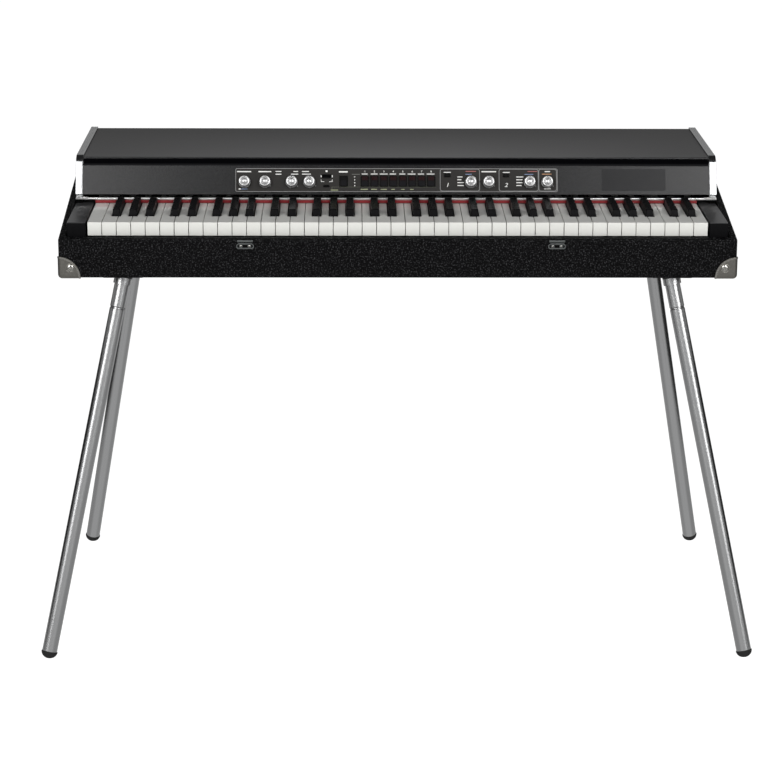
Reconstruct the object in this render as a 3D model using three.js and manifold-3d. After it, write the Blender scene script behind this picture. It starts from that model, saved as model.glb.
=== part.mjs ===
// Stage piano on four splayed tube legs.
// Millimetres, +Z up, floor at z = 0, the player sits on the -Y side.
// While it is built, y = 0 is the plane of the white keys' fronts; the whole assembly is
// moved at the end so that the origin is the middle of its footprint on the floor.
import * as THREE from "three";
import { mergeVertices, toCreasedNormals } from "three/addons/utils/BufferGeometryUtils.js";
import Module from "manifold-3d";

const wasm = await Module();
wasm.setup();

// Clearances
const seatGap = 0.3; // between pieces that rest on or against each other
const cutOverrun = 5; // how far a cutter runs past the face it cuts

// White keys: they set the width of everything above the legs
const whiteKeyCount = 43;
const whiteKeyPitch = 23.5;
const keyboardWidth = whiteKeyCount * whiteKeyPitch;
const keyboardLeft = -keyboardWidth / 2;

// Case tray: glued board, open at the top
const sideSpace = 33.6; // from the outermost keys to the side boards
const caseDepth = 484;
const caseUnderside = 623.5; // above the floor
const frontBoardHeight = 64.9;
const boardThickness = 12;
const trayFloorThickness = 10;
const sideRiseDegrees = 8.47; // slope of the side boards' top edges
const boardToKeys = 24; // from the front board's face to the key fronts
const caseFront = -boardToKeys;
const caseRear = caseFront + caseDepth;
const innerHalf = keyboardWidth / 2 + sideSpace;
const caseHalf = innerHalf + boardThickness;
const trayFloorTop = caseUnderside + trayFloorThickness;
const frontBoardTop = caseUnderside + frontBoardHeight;
const rearWallTop = frontBoardTop + caseDepth * Math.tan(THREE.MathUtils.degToRad(sideRiseDegrees));
const rearWallFace = caseRear - boardThickness;

// Corner protectors on the front lower corners
const protectorReach = 35.3;
const protectorSheet = 1.5;

// Keyboard
const keyGap = 1; // between neighbouring keys
const keysAboveBoard = 22.2; // white key tops above the front board
const whiteFrontHeight = 22.2;
const whiteHeadLength = 47; // front stretch where a white key has its full width
const tailHeight = 14;
const blackSlotWidth = 15.5;
const blackCapHeight = 11;
const blackTaper = 1; // each side leans in by this towards the top
const blackFrontSlope = 5.5;
const blackCapEnd = 149.4;
const pivotBehindFronts = 225;
const tailPastPivot = 8;
const webDepth = 6; // rear bar that joins the keys of a group
const webHeight = 6;
const webClearance = 1.5;
const keyTop = frontBoardTop + keysAboveBoard;
const keyUnderside = keyTop - tailHeight;
const lowestSingleKey = 35; // keys from here up are single pieces
const whiteNames = ["e", "f", "g", "a", "b", "c", "d"];
const sharpAfter = ["a", "c", "d", "f", "g"]; // a black key follows these white ones

// Key chassis
const chassisSheet = 3;
const chassisHalf = keyboardWidth / 2 + keyGap;
const chassisFront = 12;
const chassisRear = 262;
const guideRailPlace = 30;
const guideRailWidth = 14;
const guideRailTop = keyTop - whiteFrontHeight - 14.5;
const pivotRidgeWidth = 6;

// Cheek blocks beside the keys
const cheekInnerGap = 2.9; // from the outermost key to the block
const cheekLength = 200;
const cheekBelowKeys = 0.5;
const cheekTop = keyTop - cheekBelowKeys;

// Rail and felt over the back of the keys
const railFace = 150;
const railDepth = 6;
const railHeight = 3.9;
const railAboveKeys = 6.2;
const railEdge = 0.8;
const railBottom = keyTop + railAboveKeys;
const feltAboveKeys = 0.8;
const feltDepth = 5;

// Cover
const coverSheet = 2.5;
const coverFrontFoot = 150; // y of the front panel's lower edge
const coverFootAboveKeys = 15.9;
const coverTopAboveKeys = 74.4;
const coverTiltDegrees = 23.4; // front panel leans back from upright
const coverRearInset = 5; // from the rear wall's outer face
const coverTopRadius = 2.5;
const bandHeight = 14.6; // black band along the top of the front panel
const bandInset = 1.3;
const returnFlange = 15;
const coverRear = caseRear - coverRearInset;
const coverTilt = THREE.MathUtils.degToRad(coverTiltDegrees);
const coverFoot = keyTop + coverFootAboveKeys;
const coverTop = keyTop + coverTopAboveKeys;
const coverRise = coverTop - coverFoot;
const coverFaceLength = coverRise / Math.cos(coverTilt);

// End caps
const capThickness = 12;
const capClearance = 0.8; // to the side boards
const capProudTop = 2.5;
const capProudFront = 1.7;
const capCornerRadius = 7.6;
const capRearRadius = 3.5;
const capOuter = innerHalf - capClearance;
const capInner = capOuter - capThickness;
const coverHalf = capInner - seatGap;

// Control panel on the cover's front
const panelWidth = 542;
const panelHeight = 41.3;
const panelSheet = 1.5;
const panelAboveFoot = 3.6;
const panelCornerRadius = 3.3;
const panelFace = seatGap + panelSheet; // outward from the cover's front
const controlRow = 17.2; // knob centres above the panel's lower edge
const knobPlaceShares = [0.0288, 0.0926, 0.1745, 0.2296, 0.7298, 0.7854, 0.9123, 0.9669];
const knobNames = [
  "volume_knob",
  "reverb_knob",
  "bass_knob",
  "treble_knob",
  "effect_1_rate_knob",
  "effect_1_depth_knob",
  "effect_2_depth_knob",
  "drive_knob",
];
const knobRadius = 10.1;
const knobSkirtHeight = 2.5;
const knobBodyRadius = 9.3;
const knobHeight = 11.6;
const knobEdge = 1;
const knobCapRadius = 5.2;
const knobCapStep = 0.7;
const shaftRadius = 3;
const shaftClearance = 0.4;
const presetCount = 8;
const presetPitchShare = 0.0293; // of the panel's width
const buttonBridge = 2.7; // panel left between neighbouring buttons
const buttonHeight = 18.4;
const buttonRow = 18.5;
const buttonProud = 2.2;
const buttonDepth = 5;
const buttonClearance = 0.4;
const buttonTravel = 1.5;
const stemSize = 4;
const bankPlaceShare = 0.3358;
const firstPresetShare = 0.4017;
const effectButtonWidth = 9.9;
const effectButtonHeight = 6;
const effectButtonRow = 29;
const effectPlaceShares = [0.6572, 0.8389];
const dataSocketWidth = 14.9;
const dataSocketHeight = 6.7;
const dataSocketWall = 0.5;
const dataSocketDepth = 11;
const dataSocketPlaceShare = 0.2832;
const dataSocketRow = 27;
const presetPitch = presetPitchShare * panelWidth;
const buttonWidth = presetPitch - buttonBridge;

// Main board behind the control panel
const boardSheet = 1.6;
const boardSetback = 21; // from the cover's front face to the board's front
const mainBoardInset = 6.4; // from each end of the panel
const mainBoardHeight = 33;
const mainBoardLift = 9.2; // above the cover's lower edge, along the panel
const potSize = 14;
const potHeight = 7;
const switchSize = 8;
const switchHeight = 4;
const postSize = 5;
const postInset = 6;
const chipSize = 28;
const chipHeight = 5;
const chipPlaceShares = [-0.35, -0.1, 0.12, 0.36];
const mainBoardWidth = panelWidth - 2 * mainBoardInset;

// Jack panel on the rear wall
const jackPlateWidth = 150;
const jackPlateHeight = 50;
const jackPlateSheet = 2;
const jackBlockWidth = 126;
const jackBlockHeight = 30;
const jackBlockDepth = 17;
const jackCentreShare = 0.42; // of the rear wall's height
const inletWidth = 24;
const inletHeight = 16.5;
const inletDepth = 15;
const inletPlace = -44;
const jackRadius = 3.3;
const jackDepth = 15;
const jackPitch = 24;
const firstJackPlace = 0;
const jackCount = 3;

// Legs, their sockets and feet
const legRadius = 12.4;
const legWall = 2;
const legSideInset = 102.5; // leg centre line from the case side, at the case's underside
const frontLegInset = 48; // from the front board's face
const rearLegInset = 75; // from the rear wall's outer face
const frontSideSplay = 129; // over the height of the case's underside
const frontForeSplay = 136;
const rearSideSplay = 112;
const rearAftSplay = 106.4;
const legTopPlate = 5;
const grooveFromCase = 61; // along the leg
const grooveWidth = 3.3;
const grooveDepth = 1.3;
const socketPlate = 3.5;
const socketPlateSize = 64;
const socketWall = 2;
const socketReach = 21.5; // along the leg, below the case
const legTopSetback = 8.5;
const footHeight = 11;
const footProud = 1;
const footCutReach = 45; // half width and depth of the block that cuts a foot flat
const footPlugLength = 12;

// Counts of flat sides on round forms
const tubeSides = 24;
const knobSides = 28;
const holeSides = 16;
const arcSteps = 6;
const sphereSides = 32;
const pointSize = 3; // numbers that a point has in a mesh's list

// Finishes
const finish = (color, roughness, metalness) => () =>
  new THREE.MeshStandardMaterial({ color, roughness, metalness });
const tolex = finish(0x141415, 0.75, 0);
const charcoalPaint = finish(0x4a4b4d, 0.5, 0.2);
const brushedAluminium = finish(0xb9bbbd, 0.35, 1);
const nickel = finish(0x8f8a80, 0.35, 1);
const redFelt = finish(0x6e0d10, 0.95, 0);
const blackPaint = finish(0x1c1c1e, 0.45, 0);
const panelPaint = finish(0x3f3d3b, 0.55, 0);
const silverKnob = finish(0xcfd1d2, 0.25, 0.8);
const buttonPlastic = finish(0x1d1b1c, 0.35, 0);
const ivoryPlastic = finish(0xe8e8e4, 0.25, 0);
const ebonyPlastic = finish(0x0b0b0c, 0.2, 0);
const zincSteel = finish(0x9a9c9e, 0.4, 1);
const satinChrome = finish(0xa9abad, 0.25, 1);
const castBlack = finish(0x111112, 0.6, 0.3);
const blackRubber = finish(0x0a0a0a, 0.85, 0);
const circuitBoard = finish(0x1f5a35, 0.6, 0);

const assembly = new THREE.Group();

// Adds one named piece to a group.
function place(name, geometry, material, parent = assembly) {
  const mesh = new THREE.Mesh(geometry, material());
  mesh.name = name;
  parent.add(mesh);
  return mesh;
}

// Solids for joining and cutting
function solid(geometry) {
  const bare = geometry.clone();
  bare.deleteAttribute("normal");
  bare.deleteAttribute("uv");
  const merged = mergeVertices(bare);
  return new wasm.Manifold(
    new wasm.Mesh({
      numProp: pointSize,
      vertProperties: new Float32Array(merged.attributes.position.array),
      triVerts: new Uint32Array(merged.index.array),
    }),
  );
}

function geometryOf(shape) {
  const mesh = shape.getMesh();
  const geometry = new THREE.BufferGeometry();
  geometry.setAttribute("position", new THREE.BufferAttribute(mesh.vertProperties, pointSize));
  geometry.setIndex(new THREE.BufferAttribute(mesh.triVerts, 1));
  return toCreasedNormals(geometry);
}

const joined = (shapes) => shapes.reduce((whole, shape) => whole.add(shape));

// A box between two corners
function block(x0, x1, y0, y1, z0, z1) {
  const geometry = new THREE.BoxGeometry(x1 - x0, y1 - y0, z1 - z0);
  return geometry.translate((x0 + x1) / 2, (y0 + y1) / 2, (z0 + z1) / 2);
}

// A side outline, points [y, z], carried from x0 to x1
function profile(outline, x0, x1) {
  const shape = new THREE.Shape(outline.map(([y, z]) => new THREE.Vector2(y, z)));
  const geometry = new THREE.ExtrudeGeometry(shape, { depth: x1 - x0, bevelEnabled: false });
  const turn = new THREE.Matrix4().makeBasis(
    new THREE.Vector3(0, 1, 0),
    new THREE.Vector3(0, 0, 1),
    new THREE.Vector3(1, 0, 0),
  );
  return geometry.applyMatrix4(turn).translate(x0, 0, 0);
}

// Points of a round corner at [y, z] between the directions to the points before and after it
function corner(before, at, after, radius) {
  const here = new THREE.Vector2(...at);
  const back = new THREE.Vector2(...before).sub(here).normalize();
  const on = new THREE.Vector2(...after).sub(here).normalize();
  const half = Math.acos(back.dot(on)) / 2;
  const run = radius / Math.tan(half);
  const centre = back.clone().add(on).normalize().multiplyScalar(radius / Math.sin(half)).add(here);
  const first = back.multiplyScalar(run).add(here).sub(centre);
  const last = on.multiplyScalar(run).add(here).sub(centre);
  let sweep = last.angle() - first.angle();
  if (sweep > Math.PI) sweep -= 2 * Math.PI;
  if (sweep < -Math.PI) sweep += 2 * Math.PI;
  return Array.from({ length: arcSteps + 1 }, (_, step) => {
    const point = first.clone().rotateAround(new THREE.Vector2(), (sweep * step) / arcSteps);
    return point.add(centre).toArray();
  });
}

// A point on the cover's front: along is measured up the panel from its foot, out is outward
function onFront(along, out = 0) {
  const y = coverFrontFoot + along * Math.sin(coverTilt) - out * Math.cos(coverTilt);
  const z = coverFoot + along * Math.cos(coverTilt) + out * Math.sin(coverTilt);
  return [y, z];
}

// The front line of the cover, moved outward, where it reaches a height
function frontAtHeight(z, out) {
  const along = (z - coverFoot - out * Math.sin(coverTilt)) / Math.cos(coverTilt);
  return onFront(along, out);
}

// Case

function caseTray() {
  const outline = [
    [caseFront, caseUnderside],
    [caseRear, caseUnderside],
    [caseRear, rearWallTop],
    [caseFront, frontBoardTop],
  ];
  const inside = block(
    -innerHalf,
    innerHalf,
    caseFront + boardThickness,
    rearWallFace,
    trayFloorTop,
    rearWallTop + cutOverrun,
  );
  const window = block(
    -jackBlockWidth / 2 - seatGap,
    jackBlockWidth / 2 + seatGap,
    rearWallFace - cutOverrun,
    caseRear + cutOverrun,
    jackCentre - jackBlockHeight / 2 - seatGap,
    jackCentre + jackBlockHeight / 2 + seatGap,
  );
  const tray = solid(profile(outline, -caseHalf, caseHalf));
  place("case_tray", geometryOf(tray.subtract(solid(inside)).subtract(solid(window))), tolex);
}

// side is -1 on the left and 1 on the right
function cornerProtector(name, side) {
  const out = seatGap + protectorSheet;
  const cornerX = side * caseHalf;
  const ball = new THREE.SphereGeometry(protectorReach, sphereSides, sphereSides / 2);
  ball.translate(cornerX, caseFront, caseUnderside);
  const far = cornerX - side * protectorReach;
  const outerX = cornerX + side * out;
  const innerX = cornerX + side * seatGap;
  const shell = block(
    Math.min(far, outerX),
    Math.max(far, outerX),
    caseFront - out,
    caseFront + protectorReach,
    caseUnderside - out,
    caseUnderside + protectorReach,
  );
  const farCut = far - side * cutOverrun;
  const hollow = block(
    Math.min(farCut, innerX),
    Math.max(farCut, innerX),
    caseFront - seatGap,
    caseFront + protectorReach + cutOverrun,
    caseUnderside - seatGap,
    caseUnderside + protectorReach + cutOverrun,
  );
  place(name, geometryOf(solid(ball).intersect(solid(shell)).subtract(solid(hollow))), nickel);
}

function cheekBlock(name, side) {
  const inner = side * (keyboardWidth / 2 + cheekInnerGap);
  const outer = side * (innerHalf - seatGap);
  const geometry = block(
    Math.min(inner, outer),
    Math.max(inner, outer),
    0,
    cheekLength,
    trayFloorTop + seatGap,
    cheekTop,
  );
  place(name, geometry, blackPaint);
}

// Cover and what borders it

function topCover() {
  const bandFoot = coverFaceLength - bandHeight;
  const topFront = frontAtHeight(coverTop, -bandInset);
  const topRear = [coverRear, coverTop];
  const rearFoot = rearWallTop + seatGap;
  const outline = [
    onFront(0),
    onFront(bandFoot),
    onFront(bandFoot, -bandInset),
    ...corner(onFront(bandFoot, -bandInset), topFront, topRear, coverTopRadius),
    ...corner(topFront, topRear, [coverRear, rearFoot], coverTopRadius),
    [coverRear, rearFoot],
    [coverRear - coverSheet, rearFoot],
    [coverRear - coverSheet, coverTop - coverSheet],
    frontAtHeight(coverTop - coverSheet, -coverSheet),
    frontAtHeight(coverFoot + coverSheet, -coverSheet),
    [coverFrontFoot + returnFlange, coverFoot + coverSheet],
    [coverFrontFoot + returnFlange, coverFoot],
  ];
  const sheet = profile(outline.reverse(), -coverHalf, coverHalf);
  place("top_cover", geometryOf(solid(sheet).subtract(controlCuts())), charcoalPaint);
}

function endCap(name, side) {
  const capTop = coverTop + capProudTop;
  const capFoot = cheekTop + seatGap;
  const rear = coverRear + capProudFront;
  const frontFoot = onFront(0, capProudFront);
  const topFront = frontAtHeight(capTop, capProudFront);
  const topRear = [rear, capTop];
  const rearLedge = [rear, rearWallTop + seatGap];
  const behindRail = railFace + railDepth + seatGap;
  const outline = [
    frontFoot,
    ...corner(frontFoot, topFront, topRear, capCornerRadius),
    ...corner(topFront, topRear, rearLedge, capRearRadius),
    rearLedge,
    [rearWallFace - seatGap, rearWallTop + seatGap],
    [rearWallFace - seatGap, capFoot],
    [behindRail, capFoot],
    [behindRail, frontFoot[1]],
  ];
  const x0 = side < 0 ? -capOuter : capInner;
  place(name, profile(outline.reverse(), x0, x0 + capThickness), brushedAluminium);
}

function coverRail() {
  const top = railBottom + railHeight;
  const back = railFace + railDepth;
  const outline = [
    [railFace, railBottom + railEdge],
    [railFace + railEdge, railBottom],
    [back, railBottom],
    [back, top],
    [railFace + railEdge, top],
    [railFace, top - railEdge],
  ];
  place("cover_rail", profile(outline, -capOuter, capOuter), brushedAluminium);
}

function keyFelt() {
  const half = keyboardWidth / 2;
  const y0 = railFace + railEdge;
  const geometry = block(-half, half, y0, y0 + feltDepth, keyTop + feltAboveKeys, railBottom - seatGap);
  place("key_felt", geometry, redFelt);
}

// Controls: they are laid out in a frame on the cover's front, x along it, y up it, z outward

const controls = new THREE.Group();
controls.position.set(0, ...onFront(panelAboveFoot));
controls.rotation.x = Math.PI / 2 - coverTilt;
assembly.add(controls);

const acrossPanel = (share) => (share - 1 / 2) * panelWidth;
const knobPlaces = knobPlaceShares.map((share) => [acrossPanel(share), controlRow]);
const presetPlaces = Array.from({ length: presetCount }, (_, index) => [
  acrossPanel(firstPresetShare) + index * presetPitch,
  buttonRow,
]);
const bankPlace = [acrossPanel(bankPlaceShare), buttonRow];
const effectPlaces = effectPlaceShares.map((share) => [acrossPanel(share), effectButtonRow]);
const dataSocketPlace = [acrossPanel(dataSocketPlaceShare), dataSocketRow];

// A box of a width, height and z range, centred on a place of the panel
const onPanel = ([x, y], width, height, z0, z1) =>
  block(x - width / 2, x + width / 2, y - height / 2, y + height / 2, z0, z1);

// Holes for shafts and windows for buttons and the data socket, through the panel and the
// cover's front
function panelCuts() {
  const z0 = -coverSheet - cutOverrun;
  const z1 = panelFace + cutOverrun;
  const shaft = shaftRadius + shaftClearance;
  const holes = knobPlaces.map(([x, y]) => {
    const hole = new THREE.CylinderGeometry(shaft, shaft, z1 - z0, holeSides);
    return hole.rotateX(Math.PI / 2).translate(x, y, (z0 + z1) / 2);
  });
  const gap = 2 * buttonClearance;
  const windows = [bankPlace, ...presetPlaces].map((at) =>
    onPanel(at, buttonWidth + gap, buttonHeight + gap, z0, z1),
  );
  const small = effectPlaces.map((at) =>
    onPanel(at, effectButtonWidth + gap, effectButtonHeight + gap, z0, z1),
  );
  const socket = onPanel(dataSocketPlace, dataSocketWidth + gap, dataSocketHeight + gap, z0, z1);
  return [...holes, ...windows, ...small, socket];
}

// The same cuts in the assembly's frame
function controlCuts() {
  controls.updateMatrix();
  return joined(panelCuts().map((cut) => solid(cut.applyMatrix4(controls.matrix))));
}

function controlPanel() {
  const w = panelWidth / 2;
  const h = panelHeight;
  const r = panelCornerRadius;
  const plate = new THREE.Shape();
  plate.moveTo(-w + r, 0);
  plate.lineTo(w - r, 0).absarc(w - r, r, r, -Math.PI / 2, 0);
  plate.lineTo(w, h - r).absarc(w - r, h - r, r, 0, Math.PI / 2);
  plate.lineTo(-w + r, h).absarc(-w + r, h - r, r, Math.PI / 2, Math.PI);
  plate.lineTo(-w, r).absarc(-w + r, r, r, Math.PI, -Math.PI / 2);
  const geometry = new THREE.ExtrudeGeometry(plate, {
    depth: panelSheet,
    bevelEnabled: false,
    curveSegments: arcSteps,
  });
  geometry.translate(0, 0, seatGap);
  const cuts = joined(panelCuts().map(solid));
  place("control_panel", geometryOf(solid(geometry).subtract(cuts)), panelPaint, controls);
}

function knobs() {
  const inner = potHeight - boardSetback + seatGap;
  const foot = panelFace + seatGap;
  const top = foot + knobHeight;
  const outline = [
    [0, inner],
    [shaftRadius, inner],
    [shaftRadius, foot],
    [knobRadius, foot],
    [knobRadius, foot + knobSkirtHeight - knobEdge],
    [knobBodyRadius, foot + knobSkirtHeight],
    [knobBodyRadius, top - knobEdge],
    [knobBodyRadius - knobEdge, top],
    [knobCapRadius + knobCapStep, top],
    [knobCapRadius, top - knobCapStep],
    [0, top - knobCapStep],
  ].map(([r, z]) => new THREE.Vector2(r, z));
  knobPlaces.forEach(([x, y], index) => {
    const geometry = new THREE.LatheGeometry(outline, knobSides).rotateX(Math.PI / 2);
    place(knobNames[index], geometry, silverKnob, controls).position.set(x, y, 0);
  });
}

// A button cap on a square stem that reaches down to its switch
function button(name, [x, y], width, height) {
  const top = panelFace + buttonProud;
  const switchTop = switchHeight - boardSetback;
  const cap = onPanel([0, 0], width, height, top - buttonDepth, top);
  const stemFoot = switchTop + buttonTravel + seatGap;
  const stem = onPanel([0, 0], stemSize, stemSize, stemFoot, top - buttonDepth / 2);
  const geometry = geometryOf(solid(cap).add(solid(stem)));
  place(name, geometry, buttonPlastic, controls).position.set(x, y, 0);
}

function buttons() {
  button("bank_button", bankPlace, buttonWidth, buttonHeight);
  presetPlaces.forEach((at, index) => button(`preset_button_${index + 1}`, at, buttonWidth, buttonHeight));
  effectPlaces.forEach((at, index) =>
    button(`effect_button_${index + 1}`, at, effectButtonWidth, effectButtonHeight),
  );
}

// The board carries the knobs' potentiometers, the buttons' switches and the data socket in
// front, chips behind, and stands on posts against the back of the cover's front panel.
function mainBoard() {
  const front = -boardSetback;
  const lift = mainBoardLift - panelAboveFoot;
  const middle = lift + mainBoardHeight / 2;
  const posts = [-1, 0, 1].flatMap((across) =>
    [-1, 1].map((up) => [
      across * (mainBoardWidth / 2 - postInset),
      middle + up * (mainBoardHeight / 2 - postSize / 2),
    ]),
  );
  const pieces = [
    onPanel([0, middle], mainBoardWidth, mainBoardHeight, front - boardSheet, front),
    ...knobPlaces.map((at) => onPanel(at, potSize, potSize, front - boardSheet / 2, front + potHeight)),
    ...[bankPlace, ...presetPlaces, ...effectPlaces].map((at) =>
      onPanel(at, switchSize, switchSize, front - boardSheet / 2, front + switchHeight),
    ),
    ...posts.map((at) => onPanel(at, postSize, postSize, front - boardSheet / 2, -coverSheet - seatGap)),
    ...chipPlaceShares.map((share) => {
      const at = [share * mainBoardWidth, middle];
      return onPanel(at, chipSize, chipSize, front - boardSheet - chipHeight, front - boardSheet / 2);
    }),
    onPanel(dataSocketPlace, dataSocketWidth, dataSocketHeight, front - boardSheet / 2, panelFace),
  ];
  const hollow = onPanel(
    dataSocketPlace,
    dataSocketWidth - 2 * dataSocketWall,
    dataSocketHeight - 2 * dataSocketWall,
    panelFace - dataSocketDepth,
    panelFace + cutOverrun,
  );
  const board = joined(pieces.map(solid)).subtract(solid(hollow));
  place("main_board", geometryOf(board), circuitBoard, controls);
}

// Keyboard: every key is built around the line that it tips on

const keyboard = new THREE.Group();
keyboard.position.set(0, pivotBehindFronts, keyUnderside);
assembly.add(keyboard);

const keyFront = -pivotBehindFronts;
const topOfKeys = tailHeight;
const letterOf = (index) => whiteNames[index % whiteNames.length];
const sharpFollows = (index) => sharpAfter.includes(letterOf(index)) && index < whiteKeyCount - 1;

// Each run of white keys between two that touch (b to c, e to f) has tails of one width
function runOf(index) {
  let first = index;
  let last = index;
  while (first > 0 && sharpFollows(first - 1)) first -= 1;
  while (sharpFollows(last)) last += 1;
  const whites = last - first + 1;
  const left = keyboardLeft + first * whiteKeyPitch;
  const tail = (whites * whiteKeyPitch - (whites - 1) * blackSlotWidth) / whites;
  return { left, tail, step: index - first };
}

// The edges of a white key's tail slot
function tailSlot(index) {
  const { left, tail, step } = runOf(index);
  const start = left + step * (tail + blackSlotWidth);
  return [start, start + tail];
}

function whiteKey(index, tailEnd) {
  const left = keyboardLeft + index * whiteKeyPitch;
  const half = keyGap / 2;
  const [tailLeft, tailRight] = tailSlot(index);
  const headBack = keyFront + whiteHeadLength;
  const head = block(
    left + half,
    left + whiteKeyPitch - half,
    keyFront,
    headBack,
    topOfKeys - whiteFrontHeight,
    topOfKeys,
  );
  const inner0 = index > 0 && sharpFollows(index - 1) ? tailLeft : left + half;
  const inner1 = sharpFollows(index) ? tailRight : left + whiteKeyPitch - half;
  const tail = block(inner0, inner1, headBack - cutOverrun, tailEnd, 0, topOfKeys);
  return solid(head).add(solid(tail));
}

// A block whose top is smaller than its foot
function taperedBlock([x0, x1], [y0, y1], [z0, z1], sides, front) {
  const geometry = block(x0, x1, y0, y1, z0, z1);
  const position = geometry.attributes.position;
  for (let i = 0; i < position.count; i += 1) {
    if (position.getZ(i) < z1 - sides / 2) continue;
    const x = position.getX(i);
    position.setX(i, x < (x0 + x1) / 2 ? x + sides : x - sides);
    if (position.getY(i) < (y0 + y1) / 2) position.setY(i, y0 + front);
  }
  return geometry;
}

function blackKey(afterIndex, tailEnd, liftedTail) {
  const [, slotLeft] = tailSlot(afterIndex);
  const width = [slotLeft + keyGap, slotLeft + blackSlotWidth - keyGap];
  const front = keyFront + whiteHeadLength + keyGap;
  const body = solid(block(...width, front, tailPastPivot, 0, topOfKeys));
  const cap = solid(
    taperedBlock(
      width,
      [front, keyFront + blackCapEnd],
      [topOfKeys, topOfKeys + blackCapHeight],
      blackTaper,
      blackFrontSlope,
    ),
  );
  const key = body.add(cap);
  if (!liftedTail) return key;
  const tail = block(...width, 0, tailEnd, topOfKeys - webHeight, topOfKeys);
  return key.add(solid(tail));
}

function whiteGroupEnd() {
  return tailPastPivot + webClearance + webDepth;
}

// The low keys are one piece for each colour, joined by a bar behind the line they tip on
function lowWhiteKeys() {
  const end = whiteGroupEnd();
  const keys = [];
  for (let index = 0; index < lowestSingleKey; index += 1) keys.push(whiteKey(index, end));
  const left = keyboardLeft + keyGap / 2;
  const right = keyboardLeft + lowestSingleKey * whiteKeyPitch - keyGap / 2;
  keys.push(solid(block(left, right, end - webDepth, end, 0, webHeight)));
  place("low_white_keys", geometryOf(joined(keys)), ivoryPlastic, keyboard);
}

function lowBlackKeys() {
  const end = whiteGroupEnd() + webClearance + webDepth;
  const keys = [];
  let last = 0;
  for (let index = 0; index < lowestSingleKey; index += 1) {
    if (!sharpFollows(index)) continue;
    keys.push(blackKey(index, end, true));
    last = index;
  }
  const left = tailSlot(0)[1] + keyGap;
  const right = tailSlot(last)[1] + blackSlotWidth - keyGap;
  keys.push(solid(block(left, right, end - webDepth, end, topOfKeys - webHeight, topOfKeys)));
  place("low_black_keys", geometryOf(joined(keys)), ebonyPlastic, keyboard);
}

// The top octave, e to e, is thirteen single keys
function topOctave() {
  for (let index = lowestSingleKey; index < whiteKeyCount; index += 1) {
    const letter = letterOf(index);
    const top = index === whiteKeyCount - 1 ? "_top" : "";
    const white = geometryOf(whiteKey(index, tailPastPivot));
    place(`white_key_${letter}${top}`, white, ivoryPlastic, keyboard);
    if (!sharpFollows(index)) continue;
    const black = geometryOf(blackKey(index, tailPastPivot, false));
    place(`black_key_${letter}_sharp`, black, ebonyPlastic, keyboard);
  }
}

function keyChassis() {
  const foot = trayFloorTop + seatGap;
  const ridge = keyUnderside - seatGap;
  const half = chassisSheet / 2;
  const bar = (middle, width, z0, z1) =>
    block(-chassisHalf, chassisHalf, middle - width / 2, middle + width / 2, z0, z1);
  const pieces = [
    block(-chassisHalf, chassisHalf, chassisFront, chassisRear, foot, foot + chassisSheet),
    bar(guideRailPlace, chassisSheet, foot + half, guideRailTop - half),
    bar(guideRailPlace, guideRailWidth, guideRailTop - chassisSheet, guideRailTop),
    bar(pivotBehindFronts, chassisSheet, foot + half, ridge - half),
    bar(pivotBehindFronts, pivotRidgeWidth, ridge - chassisSheet, ridge),
  ];
  place("key_chassis", geometryOf(joined(pieces.map(solid))), zincSteel);
}

// Jack panel

function jackPanel() {
  const plateBack = caseRear + seatGap;
  const face = plateBack + jackPlateSheet;
  const box = (x, width, height, y0, y1) =>
    solid(block(x - width / 2, x + width / 2, y0, y1, jackCentre - height / 2, jackCentre + height / 2));
  const plate = box(0, jackPlateWidth, jackPlateHeight, plateBack, face);
  const body = box(0, jackBlockWidth, jackBlockHeight, face - jackBlockDepth - jackPlateSheet, face);
  const inlet = box(inletPlace, inletWidth, inletHeight, face - inletDepth, face + cutOverrun);
  let panel = plate.add(body).subtract(inlet);
  for (let index = 0; index < jackCount; index += 1) {
    const length = jackDepth + cutOverrun;
    const hole = new THREE.CylinderGeometry(jackRadius, jackRadius, length, holeSides);
    hole.translate(firstJackPlace + index * jackPitch, face - jackDepth + length / 2, jackCentre);
    panel = panel.subtract(solid(hole));
  }
  place("jack_panel", geometryOf(panel), blackPaint);
}

// Legs: each runs down a line from the case's underside to the floor

const frontLine = { y: caseFront + frontLegInset, sideways: frontSideSplay, back: -frontForeSplay };
const rearLine = { y: caseRear - rearLegInset, sideways: rearSideSplay, back: rearAftSplay };
const legs = [
  { name: "front_left", side: -1, ...frontLine },
  { name: "front_right", side: 1, ...frontLine },
  { name: "rear_left", side: -1, ...rearLine },
  { name: "rear_right", side: 1, ...rearLine },
];

// Turns an upright form, built downward from y = 0, onto a leg's line
function alongLeg(leg, geometry) {
  const top = new THREE.Vector3(leg.side * (caseHalf - legSideInset), leg.y, caseUnderside);
  const splay = new THREE.Vector3(leg.side * leg.sideways, leg.back, -caseUnderside);
  const turn = new THREE.Quaternion().setFromUnitVectors(new THREE.Vector3(0, -1, 0), splay.normalize());
  return geometry.applyQuaternion(turn).translate(top.x, top.y, top.z);
}

// A turned form from [radius, distance below the case] points
function turned(points) {
  const outline = points.map(([r, down]) => new THREE.Vector2(r, -down));
  return new THREE.LatheGeometry(outline.reverse(), tubeSides);
}

// How far down its line a leg's tube reaches
const tubeEndOf = (leg) => Math.hypot(leg.sideways, leg.back, caseUnderside) - footHeight;

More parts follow.
